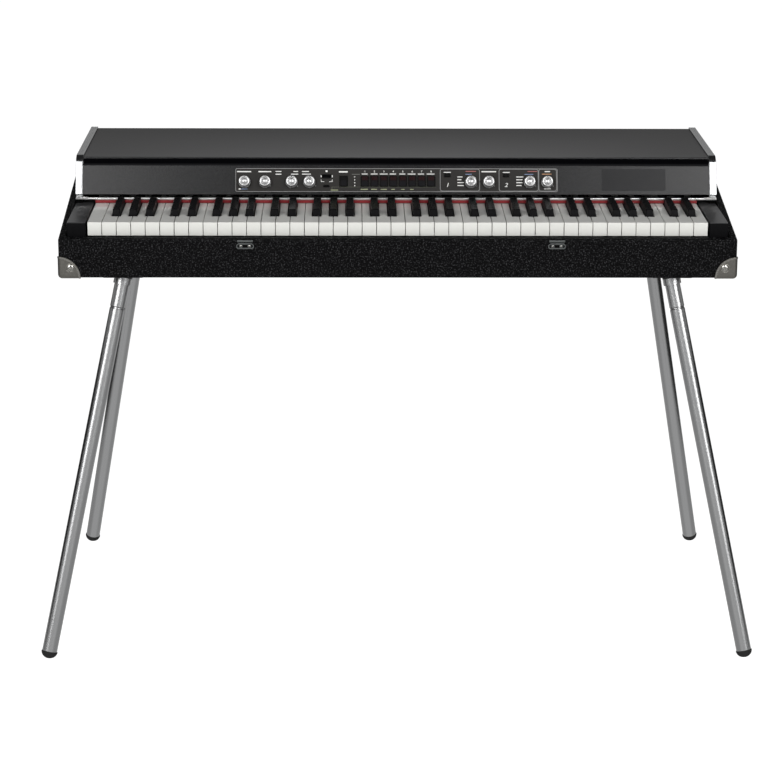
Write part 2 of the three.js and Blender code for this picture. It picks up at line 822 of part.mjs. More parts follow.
function leg(each) {
  const top = legTopSetback;
  const tubeEnd = tubeEndOf(each);
  const tube = turned([
    [0, top],
    [legRadius, top],
    [legRadius, grooveFromCase - grooveWidth / 2 - grooveDepth / 2],
    [legRadius - grooveDepth, grooveFromCase - grooveWidth / 2],
    [legRadius - grooveDepth, grooveFromCase + grooveWidth / 2],
    [legRadius, grooveFromCase + grooveWidth / 2 + grooveDepth / 2],
    [legRadius, tubeEnd],
    [legRadius - legWall, tubeEnd],
    [legRadius - legWall, grooveFromCase + legTopPlate],
    [0, grooveFromCase + legTopPlate],
  ]);
  place(`${each.name}_leg`, alongLeg(each, tube), satinChrome);
}

function legSocket(each) {
  const boreRadius = legRadius + seatGap;
  const outerRadius = boreRadius + socketWall;
  const collar = turned([
    [0, -outerRadius],
    [outerRadius, -outerRadius],
    [outerRadius, socketReach],
    [0, socketReach],
  ]);
  const bore = turned([
    [0, legTopSetback - seatGap],
    [boreRadius, legTopSetback - seatGap],
    [boreRadius, socketReach + cutOverrun],
    [0, socketReach + cutOverrun],
  ]);
  const x = each.side * (caseHalf - legSideInset);
  const half = socketPlateSize / 2;
  const plateTop = caseUnderside - seatGap;
  const plate = block(x - half, x + half, each.y - half, each.y + half, plateTop - socketPlate, plateTop);
  const above = block(
    x - socketPlateSize,
    x + socketPlateSize,
    each.y - socketPlateSize,
    each.y + socketPlateSize,
    plateTop,
    plateTop + socketPlateSize,
  );
  const socket = solid(plate).add(solid(alongLeg(each, collar)));
  const open = socket.subtract(solid(alongLeg(each, bore))).subtract(solid(above));
  place(`${each.name}_leg_socket`, geometryOf(open), castBlack);
}

// A rubber foot: a plug inside the tube and a dome below it, cut flat on the floor
function rubberFoot(each) {
  const start = tubeEndOf(each) + seatGap;
  const plug = legRadius - legWall - seatGap;
  const domeRadius = legRadius + footProud;
  const dome = Array.from({ length: arcSteps + 1 }, (_, step) => {
    const turn = (step / arcSteps) * (Math.PI / 2);
    return [domeRadius * Math.cos(turn), start + (footHeight + footProud) * Math.sin(turn)];
  });
  dome[arcSteps][0] = 0;
  const plugTop = start - footPlugLength;
  const form = turned([[0, plugTop], [plug, plugTop], [plug, start], ...dome]);
  const wide = footCutReach;
  const x = each.side * (caseHalf - legSideInset + each.sideways);
  const y = each.y + each.back;
  const below = block(x - wide, x + wide, y - wide, y + wide, -wide, 0);
  const cut = solid(alongLeg(each, form)).subtract(solid(below));
  place(`${each.name}_rubber_foot`, geometryOf(cut), blackRubber);
}

const jackCentre = caseUnderside + jackCentreShare * (rearWallTop - caseUnderside);

caseTray();
cornerProtector("left_corner_protector", -1);
cornerProtector("right_corner_protector", 1);
cheekBlock("left_cheek_block", -1);
cheekBlock("right_cheek_block", 1);
keyChassis();
lowWhiteKeys();
lowBlackKeys();
topOctave();
keyFelt();
coverRail();
topCover();
endCap("left_end_cap", -1);
endCap("right_end_cap", 1);
controlPanel();
mainBoard();
knobs();
buttons();
jackPanel();
for (const each of legs) {
  legSocket(each);
  leg(each);
  rubberFoot(each);
}

// The middle of the footprint lies midway between the front and rear feet
assembly.position.y = -(frontLine.y + frontLine.back + rearLine.y + rearLine.back) / 2;

const piano = new THREE.Group();
piano.add(assembly);

export default piano;
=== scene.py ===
"""The looks of the electric piano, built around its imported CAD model.

Metres, in the model's own frame: +X along the keyboard from low to high keys, +Y from the
player to the rear, +Z up. Places on the control panel are in millimetres: x along the panel,
s up it from its lower edge, out from the cover's front.
"""
import math

import bmesh
import bpy
from mathutils import Matrix, Vector


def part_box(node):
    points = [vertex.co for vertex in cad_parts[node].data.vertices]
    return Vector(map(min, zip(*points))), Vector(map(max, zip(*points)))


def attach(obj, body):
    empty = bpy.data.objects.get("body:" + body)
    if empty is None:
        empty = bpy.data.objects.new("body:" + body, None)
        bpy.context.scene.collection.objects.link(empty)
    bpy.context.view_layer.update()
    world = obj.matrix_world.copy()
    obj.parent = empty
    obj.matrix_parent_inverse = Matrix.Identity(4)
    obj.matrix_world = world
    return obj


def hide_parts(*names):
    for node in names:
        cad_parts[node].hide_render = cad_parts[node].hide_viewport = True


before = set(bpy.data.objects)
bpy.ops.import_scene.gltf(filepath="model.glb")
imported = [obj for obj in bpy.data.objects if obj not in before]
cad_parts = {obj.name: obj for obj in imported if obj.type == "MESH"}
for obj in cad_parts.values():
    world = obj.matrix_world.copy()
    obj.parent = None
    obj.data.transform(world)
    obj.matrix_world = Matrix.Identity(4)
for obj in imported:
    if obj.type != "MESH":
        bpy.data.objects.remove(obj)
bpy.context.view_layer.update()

MM = 0.001
SIDES = {"left": -1, "right": 1}
CORNERS = [(x, y) for x in SIDES.values() for y in SIDES.values()]
BODY = "case"

# Camera, fitted to the photograph
EYE = Vector((-0.081, -4.4546, 1.6213))
PITCH = 0.2732
YAW = 0.0165
ROLL = -0.0043
LENS = 123.24
SENSOR = 36

# Panel frame on the cover's front
COVER_LOW, COVER_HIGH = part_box("top_cover")
TILT = math.radians(23.4)
ALONG = Vector((0, math.sin(TILT), math.cos(TILT)))
OUTWARD = Vector((0, -math.cos(TILT), math.sin(TILT)))
COVER_FOOT = Vector((0, COVER_LOW.y, COVER_LOW.z))
PANEL_ABOVE_FOOT = 3.6 * MM
PANEL_WIDTH = 542
PANEL_HEIGHT = 41.3
PANEL_FACE = 1.8
PANEL = Matrix.Translation(COVER_FOOT + PANEL_ABOVE_FOOT * ALONG) @ Matrix(
    (Vector((1, 0, 0)), ALONG, OUTWARD)).transposed().to_4x4() @ Matrix.Scale(MM, 4)

# The cover's front and the black band along its top edge
COVER_COLOR = (0.0085, 0.0085, 0.0092)
FACE_LENGTH = (COVER_HIGH.z - COVER_LOW.z) / math.cos(TILT)
BAND_HEIGHT = 14.6 * MM
BAND_INSET = 1.3 * MM
BAND_TOP_GAP = 1.8 * MM
BAND_END_GAP = 0.2 * MM
# Height over which the band's painted dark reflection runs into the charcoal at its foot
BAND_FADE = 4 * MM
BAND_FOOT = COVER_FOOT + (FACE_LENGTH - BAND_HEIGHT) * ALONG

# Points nearer than WELD are one, faces within FLAT are one, corners over SHARP can be
# rounded, and edges over SMOOTH show as edges
WELD = 1e-5
FLAT = math.radians(0.4)
SHARP = math.radians(30)
SMOOTH = math.radians(38)


# Materials

def add_node(tree, kind, inputs=None, **settings):
    """A new node with its settings, its inputs set or linked."""
    node = tree.nodes.new(kind)
    for name, value in settings.items():
        setattr(node, name, value)
    for socket, value in (inputs or {}).items():
        if isinstance(value, bpy.types.NodeSocket):
            tree.links.new(value, node.inputs[socket])
        else:
            node.inputs[socket].default_value = value
    return node


class Finish:
    """A material that is put together from nodes, one call for each."""

    def __init__(self, name, color, roughness, **sockets):
        self.material = bpy.data.materials.new(name)
        self.material.use_nodes = True
        self.tree = self.material.node_tree
        self.shader = self.tree.nodes["Principled BSDF"]
        self.shader.inputs["Base Color"].default_value = (*color, 1)
        self.shader.inputs["Roughness"].default_value = roughness
        for socket, value in sockets.items():
            self.shader.inputs[socket.replace("_", " ")].default_value = value
        self.place = self.add("ShaderNodeTexCoord").outputs["Object"]

    def add(self, kind, inputs=None, **settings):
        return add_node(self.tree, kind, inputs, **settings)

    def set(self, socket, value):
        self.tree.links.new(value, self.shader.inputs[socket])

    def stretched(self, stretch):
        """The object's own place, stretched along each axis."""
        return self.add("ShaderNodeMapping", {"Vector": self.place, "Scale": stretch}).outputs[0]

    def noise(self, scale, stretch=(1, 1, 1), detail=3):
        place = self.stretched(stretch)
        node = self.add("ShaderNodeTexNoise", {"Vector": place, "Scale": scale, "Detail": detail})
        return node.outputs["Fac"]

    def cells(self, scale, feature="SMOOTH_F1"):
        node = self.add("ShaderNodeTexVoronoi", {"Vector": self.place, "Scale": scale}, feature=feature)
        return node.outputs["Distance"]

    def between(self, factor, low, high, start=0.0, end=1.0):
        inputs = {"Value": factor, "From Min": start, "From Max": end, "To Min": low, "To Max": high}
        return self.add("ShaderNodeMapRange", inputs).outputs[0]

    def blend(self, factor, first, second):
        node = self.add("ShaderNodeMix", data_type="RGBA")
        sockets = {socket.identifier: socket for socket in (*node.inputs, *node.outputs)}
        self.tree.links.new(factor, sockets["Factor_Float"])
        sockets["A_Color"].default_value = (*first, 1)
        sockets["B_Color"].default_value = (*second, 1)
        return sockets["Result_Color"]

    def bump(self, height, depth):
        inputs = {"Height": height, "Distance": depth, "Strength": 1.0}
        return self.add("ShaderNodeBump", inputs).outputs[0]


def shaded(color, share):
    """The colour, made darker or paler by a share."""
    return tuple(share * part for part in color)


def grained(name, color, roughness, scale, depth, stretch=(1, 1, 1), vary=0.15, spread=0.06, **sockets):
    """A finish whose colour, gloss and surface all follow one grain."""
    finish = Finish(name, color, roughness, **sockets)
    grain = finish.noise(scale, stretch)
    finish.set("Base Color", finish.blend(grain, shaded(color, 1 - vary), shaded(color, 1 + vary)))
    finish.set("Roughness", finish.between(grain, roughness - spread, roughness + spread, 0.3, 0.7))
    finish.set("Normal", finish.bump(grain, depth))
    return finish.material


def pebbled_vinyl():
    """Black vinyl: irregular pebbles, of which the tallest are glossier and painted paler: painted
    highlights where they catch the light.
    """
    finish = Finish("pebbled_vinyl", (0.003, 0.003, 0.0034), 0.5, Specular_IOR_Level=0.06)
    lumps = finish.noise(430, detail=4)
    pebbles = finish.between(finish.cells(300), 1, 0, 0, 0.8)
    tops = finish.between(lumps, 0, 1, 0.53, 0.68)
    # Painted highlight: the tallest pebbles get a paler colour
    finish.set("Base Color", finish.blend(tops, (0.001, 0.001, 0.0012), (0.034, 0.034, 0.036)))
    finish.set("Roughness", finish.between(tops, 0.6, 0.35))
    height = finish.add("ShaderNodeMath", {0: pebbles, 1: lumps}, operation="ADD").outputs[0]
    finish.set("Normal", finish.bump(height, 0.0006))
    return finish.material


def woven_felt():
    finish = Finish("red_felt", (0.2, 0.012, 0.016), 0.95, Sheen_Weight=0.5, Sheen_Roughness=0.5)
    fibres = finish.noise(2600, (1, 0.5, 0.5), 5)
    finish.set("Base Color", finish.blend(fibres, (0.1, 0.005, 0.007), (0.34, 0.02, 0.026)))
    finish.set("Normal", finish.bump(fibres, 0.0004))
    return finish.material


def cover_top_painted_light():
    """The cover's paint seen from above, with painted light: palest at the middle of its front edge, darker
    towards the sides and the rear.
    """
    finish = Finish("cover_top_charcoal_painted_light", COVER_COLOR, 0.3, Specular_IOR_Level=0.039)
    place = finish.add("ShaderNodeSeparateXYZ", {"Vector": finish.place}).outputs
    ahead = finish.between(place["Y"], 1, 0, COVER_LOW.y, COVER_HIGH.y)
    sideways = finish.add("ShaderNodeMath", {0: place["X"]}, operation="ABSOLUTE").outputs[0]
    central = finish.between(sideways, 1, 0.4, 0.1, 0.5)
    paler = finish.add("ShaderNodeMath", {0: ahead, 1: central}, operation="MULTIPLY").outputs[0]
    # Painted light: the base colour is palest at the middle of the front edge
    finish.set("Base Color", finish.blend(paler, (0.004, 0.004, 0.004), (0.117, 0.117, 0.12)))
    finish.set("Normal", finish.bump(finish.noise(1400), 0.00002))
    return finish.material


def band_black_painted_reflection():
    """Satin black, partly the strip's own black and partly a painted dark reflection of the bend, that runs
    into the cover's charcoal at its foot.
    """
    finish = Finish("band_black_painted_reflection", (0.001, 0.001, 0.001), 0.6, Specular_IOR_Level=0.005)
    height = finish.add("ShaderNodeSeparateXYZ", {"Vector": finish.place}).outputs["Z"]
    foot = BAND_FOOT.z
    # The painted dark reflection's soft lower edge: paler towards the band's foot
    fade = finish.between(height, 0, 1, foot, foot + BAND_FADE)
    finish.set("Base Color", finish.blend(fade, (0.015, 0.015, 0.016), (0.0012, 0.0012, 0.0016)))
    finish.set("Normal", finish.bump(finish.noise(1500), 0.00004))
    return finish.material


def solder_mask():
    finish = Finish("circuit_board", (0.02, 0.1, 0.045), 0.4, Coat_Weight=0.3)
    tracks = finish.cells(220, "DISTANCE_TO_EDGE")
    lines = finish.between(tracks, 0, 1, 0.05, 0.09)
    finish.set("Base Color", finish.blend(lines, (0.06, 0.2, 0.08), (0.012, 0.075, 0.032)))
    finish.set("Normal", finish.bump(lines, 0.00005))
    return finish.material


vinyl = pebbled_vinyl()
felt = woven_felt()
cover_paint = grained("cover_charcoal", COVER_COLOR, 0.27, 1400, 0.00002, vary=0.06, Specular_IOR_Level=0.28)
plate_paint = grained("name_plate_charcoal", (0.009, 0.009, 0.01), 0.3, 1400, 0.00002, vary=0.06,
                      Specular_IOR_Level=0.18)
band_with_painted_reflection = band_black_painted_reflection()
cover_top = cover_top_painted_light()
# The cheek blocks are one black paint: the top's paler copy is painted light, the front keeps the black
cheek_top_painted_light = grained("cheek_top_black_painted_light", (0.042, 0.042, 0.044), 0.34, 900, 0.00005, (0.3, 1, 1))
cheek_front = grained("cheek_front_black", (0.003, 0.003, 0.0035), 0.5, 900, 0.00006,
                      Specular_IOR_Level=0.08)
cap_metal = grained("brushed_cap", (0.33, 0.335, 0.34), 0.2, 2200, 0.00003, (1, 0.02, 0.02), Metallic=1)
rail_metal = grained("brushed_rail", (0.8, 0.8, 0.79), 0.3, 2200, 0.00002, (0.02, 1, 1), Metallic=1)
nickel = grained("satin_nickel", (0.2, 0.193, 0.175), 0.36, 420, 0.00008, Metallic=0.9)
# Paler nickel for the raised rim and the ripple: painted highlight
nickel_edge = grained("nickel_rim_painted_highlight", (0.34, 0.33, 0.305), 0.28, 420, 0.00006, Metallic=0.9)
screw_metal = grained("screw_steel", (0.5, 0.49, 0.46), 0.2, 700, 0.00003, Metallic=1)
latch_metal = grained("latch_zinc", (0.16, 0.17, 0.17), 0.36, 600, 0.00008, Metallic=0.9)
black_paint_and_shade = grained("black_paint_and_shade", (0.002, 0.002, 0.002), 0.6, 900, 0.00003, Specular_IOR_Level=0.03)
panel_paint = grained("panel_paint", (0.021, 0.0195, 0.018), 0.5, 1300, 0.00006, vary=0.1,
                      Specular_IOR_Level=0.15)
knob_metal = grained("turned_knob", (0.54, 0.54, 0.54), 0.36, 1600, 0.00001, Metallic=0.9)
button_black = grained("button_black", (0.002, 0.002, 0.002), 0.4, 1100, 0.00003, Specular_IOR_Level=0.08)
button_grey = grained("button_grey", (0.005, 0.005, 0.0062), 0.42, 1100, 0.00004, Specular_IOR_Level=0.08)
lens_red = grained("smoked_red_lens", (0.015, 0.005, 0.0055), 0.3, 500, 0.00002, Specular_IOR_Level=0.1)
lamp = grained("lamp_lens", (0.85, 0.85, 0.82), 0.3, 800, 0.00002)
white_key = grained("white_key_plastic", (0.8, 0.8, 0.77), 0.17, 60, 0.00002, vary=0.012, spread=0.02)
# Darker copies of the key plastics for white fronts and black key sides: painted shade
white_front_shade = grained("white_key_front_painted_shade", (0.66, 0.66, 0.625), 0.3, 60, 0.00002, vary=0.012, spread=0.02)
black_key = grained("black_key_plastic", (0.006, 0.006, 0.0065), 0.3, 700, 0.00002, (1, 0.2, 1),
                    Specular_IOR_Level=0.4)
black_sides_shade = grained("black_key_sides_painted_shade", (0.003, 0.003, 0.0035), 0.4, 700, 0.00002, Specular_IOR_Level=0.06)
chrome = grained("satin_chrome", (0.66, 0.665, 0.67), 0.25, 1500, 0.000001, vary=0.02, spread=0.01,
                 Metallic=1)
groove_painted_shade = grained("groove_shadow", (0.02, 0.02, 0.021), 0.5, 1500, 0.00001, Metallic=0.3)
socket_black = grained("cast_black", (0.006, 0.006, 0.0065), 0.55, 700, 0.00015)
rubber = grained("foot_rubber", (0.006, 0.006, 0.006), 0.75, 1200, 0.0001)
zinc = grained("zinc_steel", (0.52, 0.53, 0.54), 0.36, 160, 0.00005, Metallic=1)
jack_black = grained("jack_black", (0.012, 0.012, 0.013), 0.5, 1200, 0.00006)
contact_metal = grained("contact_nickel", (0.7, 0.66, 0.55), 0.25, 900, 0.00002, Metallic=1)
board_green = solder_mask()


def ink(name, color):
    return grained(name, color, 0.5, 1800, 0.00002, vary=0.08)


inks = {
    "white": ink("ink_white", (0.75, 0.75, 0.73)),
    "line": ink("ink_line_grey", (0.2, 0.2, 0.2)),
    "dim": ink("ink_dim_grey", (0.11, 0.11, 0.1)),
    "green": ink("ink_green", (0.3, 0.33, 0.18)),
    "moss": ink("ink_moss", (0.07, 0.075, 0.045)),
    "red": ink("ink_red", (0.36, 0.1, 0.09)),
    "blue": ink("ink_blue", (0.16, 0.22, 0.36)),
    "orange": ink("ink_orange", (0.5, 0.26, 0.12)),
}


# Meshes

def from_node(name):
    """A CAD node's mesh, welded, with its flat faces whole again."""
    form = bmesh.new()
    form.from_mesh(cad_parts[name].data)
    for face in form.faces:
        face.material_index = 0
    bmesh.ops.remove_doubles(form, verts=form.verts, dist=WELD)
    bmesh.ops.dissolve_limit(form, angle_limit=FLAT, verts=form.verts, edges=form.edges)
    return form


def is_corner(edge):
    return len(edge.link_faces) == 2 and edge.is_convex and edge.calc_face_angle(0) > SHARP


def soften(form, width, chosen=lambda edge: True, segments=3):
    """Rounds the outward corners that chosen picks."""
    edges = [edge for edge in form.edges if is_corner(edge) and chosen(edge)]
    bmesh.ops.bevel(form, geom=edges, offset=width, offset_type="OFFSET", segments=segments,
                    profile=0.5, affect="EDGES", clamp_overlap=True)
    return form


def longer(length):
    return lambda edge: edge.calc_length() > length


def as_mesh(name, form):
    """The form as a mesh; the form itself is spent."""
    mesh = bpy.data.meshes.new(name)
    form.to_mesh(mesh)
    form.free()
    return mesh


def placed(name, data):
    """A new object in the scene."""
    thing = bpy.data.objects.new(name, data)
    bpy.context.scene.collection.objects.link(thing)
    return thing


def cut_faces(form, point, normal, **how):
    """Cuts the form's faces along a plane."""
    bmesh.ops.bisect_plane(form, geom=[*form.verts, *form.edges, *form.faces], plane_co=point,
                           plane_no=normal, **how)


def joined(forms):
    """Several forms as one; the forms themselves are spent."""
    whole = bmesh.new()
    for form in forms:
        mesh = as_mesh("part_of_piece", form)
        whole.from_mesh(mesh)
        bpy.data.meshes.remove(mesh)
    return whole


def marked(form, index):
    """The form with all its faces in one of the piece's materials."""
    for face in form.faces:
        face.material_index = index
    return form


def moved(form, matrix):
    bmesh.ops.transform(form, matrix=matrix, verts=form.verts)
    if matrix.to_3x3().determinant() < 0:
        bmesh.ops.reverse_faces(form, faces=form.faces)
    return form


def prism(outline, low, high, bevel=0.0, segments=2):
    """An outline in x and y, carried from z low to z high, with soft edges."""
    form = bmesh.new()
    foot = form.faces.new([form.verts.new((x, y, low)) for x, y in outline])
    lift = bmesh.ops.extrude_face_region(form, geom=[foot])
    top = [item for item in lift["geom"] if isinstance(item, bmesh.types.BMVert)]
    bmesh.ops.translate(form, vec=(0, 0, high - low), verts=top)
    bmesh.ops.recalc_face_normals(form, faces=form.faces)
    return soften(form, bevel, segments=segments) if bevel else form


def rounded(width, height, radius, steps=4, middle=(0, 0)):
    """The outline of a rectangle with round corners."""
    points = []
    for turn, (across, up) in enumerate(((1, 1), (-1, 1), (-1, -1), (1, -1))):
        for step in range(steps + 1):
            angle = math.pi / 2 * (turn + step / steps)
            x = across * (width / 2 - radius) + radius * math.cos(angle)
            y = up * (height / 2 - radius) + radius * math.sin(angle)
            points.append((middle[0] + x, middle[1] + y))
    return points


def slab(x0, x1, y0, y1, z0, z1, bevel=0.0, segments=2):
    outline = [(x0, y0), (x1, y0), (x1, y1), (x0, y1)]
    return prism(outline, z0, z1, bevel, segments)


def bridge(form, loops):
    """Faces between each two loops that follow each other, all with the same number of points."""
    for first, second in zip(loops, loops[1:]):
        for here in range(len(first)):
            on = (here + 1) % len(first)
            form.faces.new([first[here], first[on], second[on], second[here]])


def lathe(points, sides=48):
    """A form turned around z from points (radius, z), given from top to bottom or back."""
    form = bmesh.new()
    rings = []
    for radius, z in points:
        if radius < WELD:
            rings.append([form.verts.new((0, 0, z))])
            continue
        turns = (2 * math.pi * side / sides for side in range(sides))
        rings.append([form.verts.new((radius * math.cos(t), radius * math.sin(t), z)) for t in turns])
    for upper, lower in zip(rings, rings[1:]):
        for side in range(sides):
            on = (side + 1) % sides
            corners = [upper[side % len(upper)], lower[side % len(lower)],
                       lower[on % len(lower)], upper[on % len(upper)]]
            form.faces.new(list(dict.fromkeys(corners)))
    bmesh.ops.recalc_face_normals(form, faces=form.faces)
    return form


def carved(form, cutter, operation="DIFFERENCE"):
    """The form after a boolean with the cutter."""
    pair = [placed(name, as_mesh(name, part)) for name, part in (("carved", form), ("cutter", cutter))]
    modifier = pair[0].modifiers.new("cut", "BOOLEAN")
    modifier.operation = operation
    modifier.solver = "EXACT"
    modifier.object = pair[1]
    bpy.context.view_layer.update()
    result = bpy.data.meshes.new_from_object(pair[0].evaluated_get(bpy.context.evaluated_depsgraph_get()))
    whole = bmesh.new()
    whole.from_mesh(result)
    bpy.data.meshes.remove(result)
    for thing in pair:
        mesh = thing.data
        bpy.data.objects.remove(thing)
        bpy.data.meshes.remove(mesh)
    return whole


def show(name, form, finishes, body=BODY, stands_for=()):
    """Makes a piece of the form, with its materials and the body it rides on."""
    mesh = as_mesh(name, form)
    for finish in finishes if isinstance(finishes, list) else [finishes]:
        mesh.materials.append(finish)
    mesh.shade_smooth()
    mesh.set_sharp_from_angle(angle=SMOOTH)
    piece = placed(name, mesh)
    crisp = piece.modifiers.new("flat_faces_shade_flat", "WEIGHTED_NORMAL")
    crisp.keep_sharp = True
    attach(piece, body)
    if stands_for:
        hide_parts(*stands_for)
    return piece


def towards(direction):
    """The turn that takes +Z to a direction."""
    return Vector((0, 0, 1)).rotation_difference(Vector(direction)).to_matrix().to_4x4()


def cross_screw():
    """A domed screw head of radius 1 with a cross recess, its dome's foot at z = 0."""
    height, sunk = 0.42, -0.2
    arm, half, floor = 0.55, 0.14, 0.1
    turns = [math.pi / 2 * step / 6 for step in range(6, -1, -1)]
    dome = [(math.cos(turn), height * math.sin(turn)) for turn in turns]
    head = lathe([*dome, (1, sunk), (0, sunk)], 32)
    for cutter in (slab(-arm, arm, -half, half, floor, 1), slab(-half, half, -arm, arm, floor, 1)):
        head = carved(head, cutter)
    return head


MASTER_SCREW = cross_screw()


def screwed(place, radius, index):
    """A screw head at a place, in one of the piece's materials."""
    return marked(moved(MASTER_SCREW.copy(), place @ Matrix.Scale(radius, 4)), index)


# Case

CASE_LOW, CASE_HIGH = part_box("case_tray")
CASE_ROUNDING = 3 * MM
CASE_LONG_EDGE = 60 * MM


def case():
    covering = soften(from_node("case_tray"), CASE_ROUNDING, longer(CASE_LONG_EDGE))
    show("case_covering", covering, vinyl, stands_for=["case_tray"])


def corner_block(inset, size, radius):
    """A block in a corner at the origin, with its three outer edges rounded."""
    def outer(edge):
        return sum(all(abs(v.co[axis] - inset) < WELD for v in edge.verts) for axis in range(3)) == 2

    return soften(slab(inset, size, inset, size, inset, size), radius, outer, 6)


def ball(radius, middle):
    """A sphere round a middle point."""
    form = bmesh.new()
    bmesh.ops.create_uvsphere(form, u_segments=72, v_segments=36, radius=radius)
    return moved(form, Matrix.Translation(middle))


def protectors():
    """Pressed corners: quarter discs over the rounded corner of the case, with a raised rim; the rim and the
    ripple round the screw are painted paler: painted highlight.
    """
    reach = 35.3
    sheet = 1.5
    rounding = 7
    proud = 0.5
    sunk = 0.2
    gap = 0.3
    rim_width = 3
    block, cutter = 40, 50
    screw_x, screw_z, screw_radius = 21, 18.8, 6.2
    ripple = [(8, 0), (7.6, 0.6), (7, 0.7), (6.5, 0.3), (6.3, 0.1), (0, 0)]
    middle = [sheet + gap] * 3
    for word, side in SIDES.items():
        name = word + "_corner_protector"
        low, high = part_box(name)
        corner = Vector((low.x if side < 0 else high.x, low.y, low.z))
        skin = carved(corner_block(0, block, rounding), corner_block(sheet, cutter, rounding - sheet))
        skin = carved(skin, ball(reach, middle), "INTERSECT")
        rim = carved(corner_block(-proud, block, rounding + proud),
                     corner_block(sunk, cutter, rounding - sunk))
        rim = carved(rim, ball(reach - gap, middle), "INTERSECT")
        rim = carved(rim, ball(reach - rim_width, middle))
        place = Matrix.Translation((screw_x, -sunk, screw_z)) @ towards((0, -1, 0))
        # Rim and ripple take the paler nickel: painted highlight
        form = joined([marked(skin, 0), marked(rim, 1), marked(moved(lathe(ripple), place), 1),
                       screwed(place, screw_radius, 2)])
        moved(form, Matrix.Translation(corner) @ Matrix.Scale(MM, 4) @ Matrix.Scale(-side, 4, (1, 0, 0)))
        show(name + "_plate", form, [nickel, nickel_edge, screw_metal], stands_for=[name])


def ring(outer, inner, low, high):
    """A flat frame between two outlines with the same number of points."""
    form = bmesh.new()
    loops = [[form.verts.new((x, y, z)) for x, y in outline]
             for outline, z in ((outer, low), (outer, high), (inner, high), (inner, low))]
    bridge(form, loops + loops[:1])
    bmesh.ops.recalc_face_normals(form, faces=form.faces)
    return form


def upright(x, z):
    """The frame of the case's front face, in millimetres: x along it, y up, z towards the player."""
    axes = Matrix(((1, 0, 0), (0, 0, 1), (0, -1, 0))).transposed().to_4x4()
    return Matrix.Translation((x * MM, CASE_LOW.y, z * MM)) @ axes @ Matrix.Scale(MM, 4)


LATCHES = {"left_latch_keeper": -248.4, "right_latch_keeper": 257.3}
LATCH_HEIGHT = 679.3


def latch_keepers():
    """Two folded hooks over screwed plates, where a lid's latches grip the front board."""
    for name, middle in LATCHES.items():
        plate = prism(rounded(28.6, 8.4, 3.6, 6, (0, -2.9)), 0, 0.6, 0.2)
        rim = ring(rounded(28.6, 8.4, 3.6, 6, (0, -2.9)), rounded(25.2, 5.2, 2.2, 6, (0, -2.7)), 0.5, 1.6)
        hook = prism([(-13.4, 6.6), (-12.8, 7.4), (12.8, 7.4), (13.4, 6.6), (12.2, 2.4), (11.6, 1.8),
                      (-11.6, 1.8), (-12.2, 2.4)], 2.2, 3.2, 0.3)
        fold = slab(-12.8, 12.8, 4.4, 7.4, 0.4, 3.8, 0.5)
        lip = slab(-11.4, 11.4, 1.6, 2.8, 0.6, 4, 0.4)
        parts = [marked(part, 2) for part in (plate, hook)] + [marked(part, 0) for part in (rim, fold, lip)]
        for side in SIDES.values():
            at = Matrix.Translation((side * 6.9, -2.6, 0.6))
            eye = lathe([(3.2, 0), (3.2, 0.9), (2.9, 1.2), (2.3, 1.2), (2, 0.9), (2, 0)], 24)
            parts.append(marked(moved(eye, at), 0))
            parts.append(screwed(at, 1.9, 1))
        form = moved(joined(parts), upright(middle, LATCH_HEIGHT))
        show(name, form, [latch_metal, screw_metal, black_paint_and_shade])


# Cover

KEY_LOW, KEY_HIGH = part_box("low_white_keys")
FRONT = Matrix.Translation(COVER_FOOT) @ Matrix((ALONG, OUTWARD, Vector((1, 0, 0)))).transposed().to_4x4()
COVER_ROUNDING = 0.4 * MM
COVER_LONG_EDGE = 1
NAME_PLATE_SIZE = (107.5, 36.4)
NAME_PLATE_CORNER = 2.6
NAME_PLATE_PLACE = (398.6, 21.9)


def cover():
    """The folded sheet, the black band along its top edge and the bare name plate."""
    sheet = soften(from_node("top_cover"), COVER_ROUNDING, longer(COVER_LONG_EDGE), 2)
    for face in sheet.faces:
        # Top faces take the paint with painted light
        face.material_index = int(face.normal.z > 0.7)
    show("cover_sheet", sheet, [cover_paint, cover_top], stands_for=["top_cover"])
    half = COVER_HIGH.x - BAND_END_GAP
    foot = FACE_LENGTH - BAND_HEIGHT
    cove = [(foot + share * (BAND_HEIGHT - BAND_TOP_GAP),
             -0.9 * BAND_INSET * math.sin(min(1, 1.8 * share) * math.pi / 2))
            for share in (step / 16 for step in range(17))]
    back = [(cove[-1][0], -BAND_INSET), (cove[0][0], -BAND_INSET)]
    band = prism([*cove, *back], -half, half)
    show("cover_band", moved(band, FRONT), band_with_painted_reflection)
    outline = rounded(*NAME_PLATE_SIZE, NAME_PLATE_CORNER, 6, NAME_PLATE_PLACE)
    show("name_plate_bare", moved(prism(outline, 0, 0.5, 0.2), PANEL), plate_paint)


def side_outline(node):
    """The outline of a node's largest upright side, as points of y and z."""
    form = from_node(node)
    side = max(form.faces, key=lambda face: face.calc_area() * (abs(face.normal.x) > 0.9))
    points = [(v.co.y, v.co.z) for v in side.verts]
    turn = sum(a[0] * b[1] - b[0] * a[1] for a, b in zip(points, points[1:] + points[:1]))
    form.free()
    return points if turn > 0 else points[::-1]


def drawn_in(outline, inset):
    """The outline, moved inward all round."""
    points = []
    for before, here, after in zip(outline[-1:] + outline[:-1], outline, outline[1:] + outline[:1]):
        first = Vector((before[1] - here[1], here[0] - before[0])).normalized()
        second = Vector((here[1] - after[1], after[0] - here[0])).normalized()
        step = inset * (first + second) / (1 + first.dot(second))
        points.append((here[0] + step.x, here[1] + step.y))
    return points


# The end caps' wide corner, and how near to it, as a share of its reach, points give way to it
CAP_CORNER = 18 * MM
AT_CORNER_SHARE = 1.01

# Sections across an end cap, in millimetres: how far along it and how deep below its face
CAP_EDGE = [(0, 0.75), (0.1, 0.42), (0.33, 0.13), (0.75, 0)]
CAP_GROOVES = (3.2, 6, 8.8)
CAP_GROOVE = [(-0.5, 0), (-0.35, 0.4), (0.35, 0.4), (0.5, 0)]


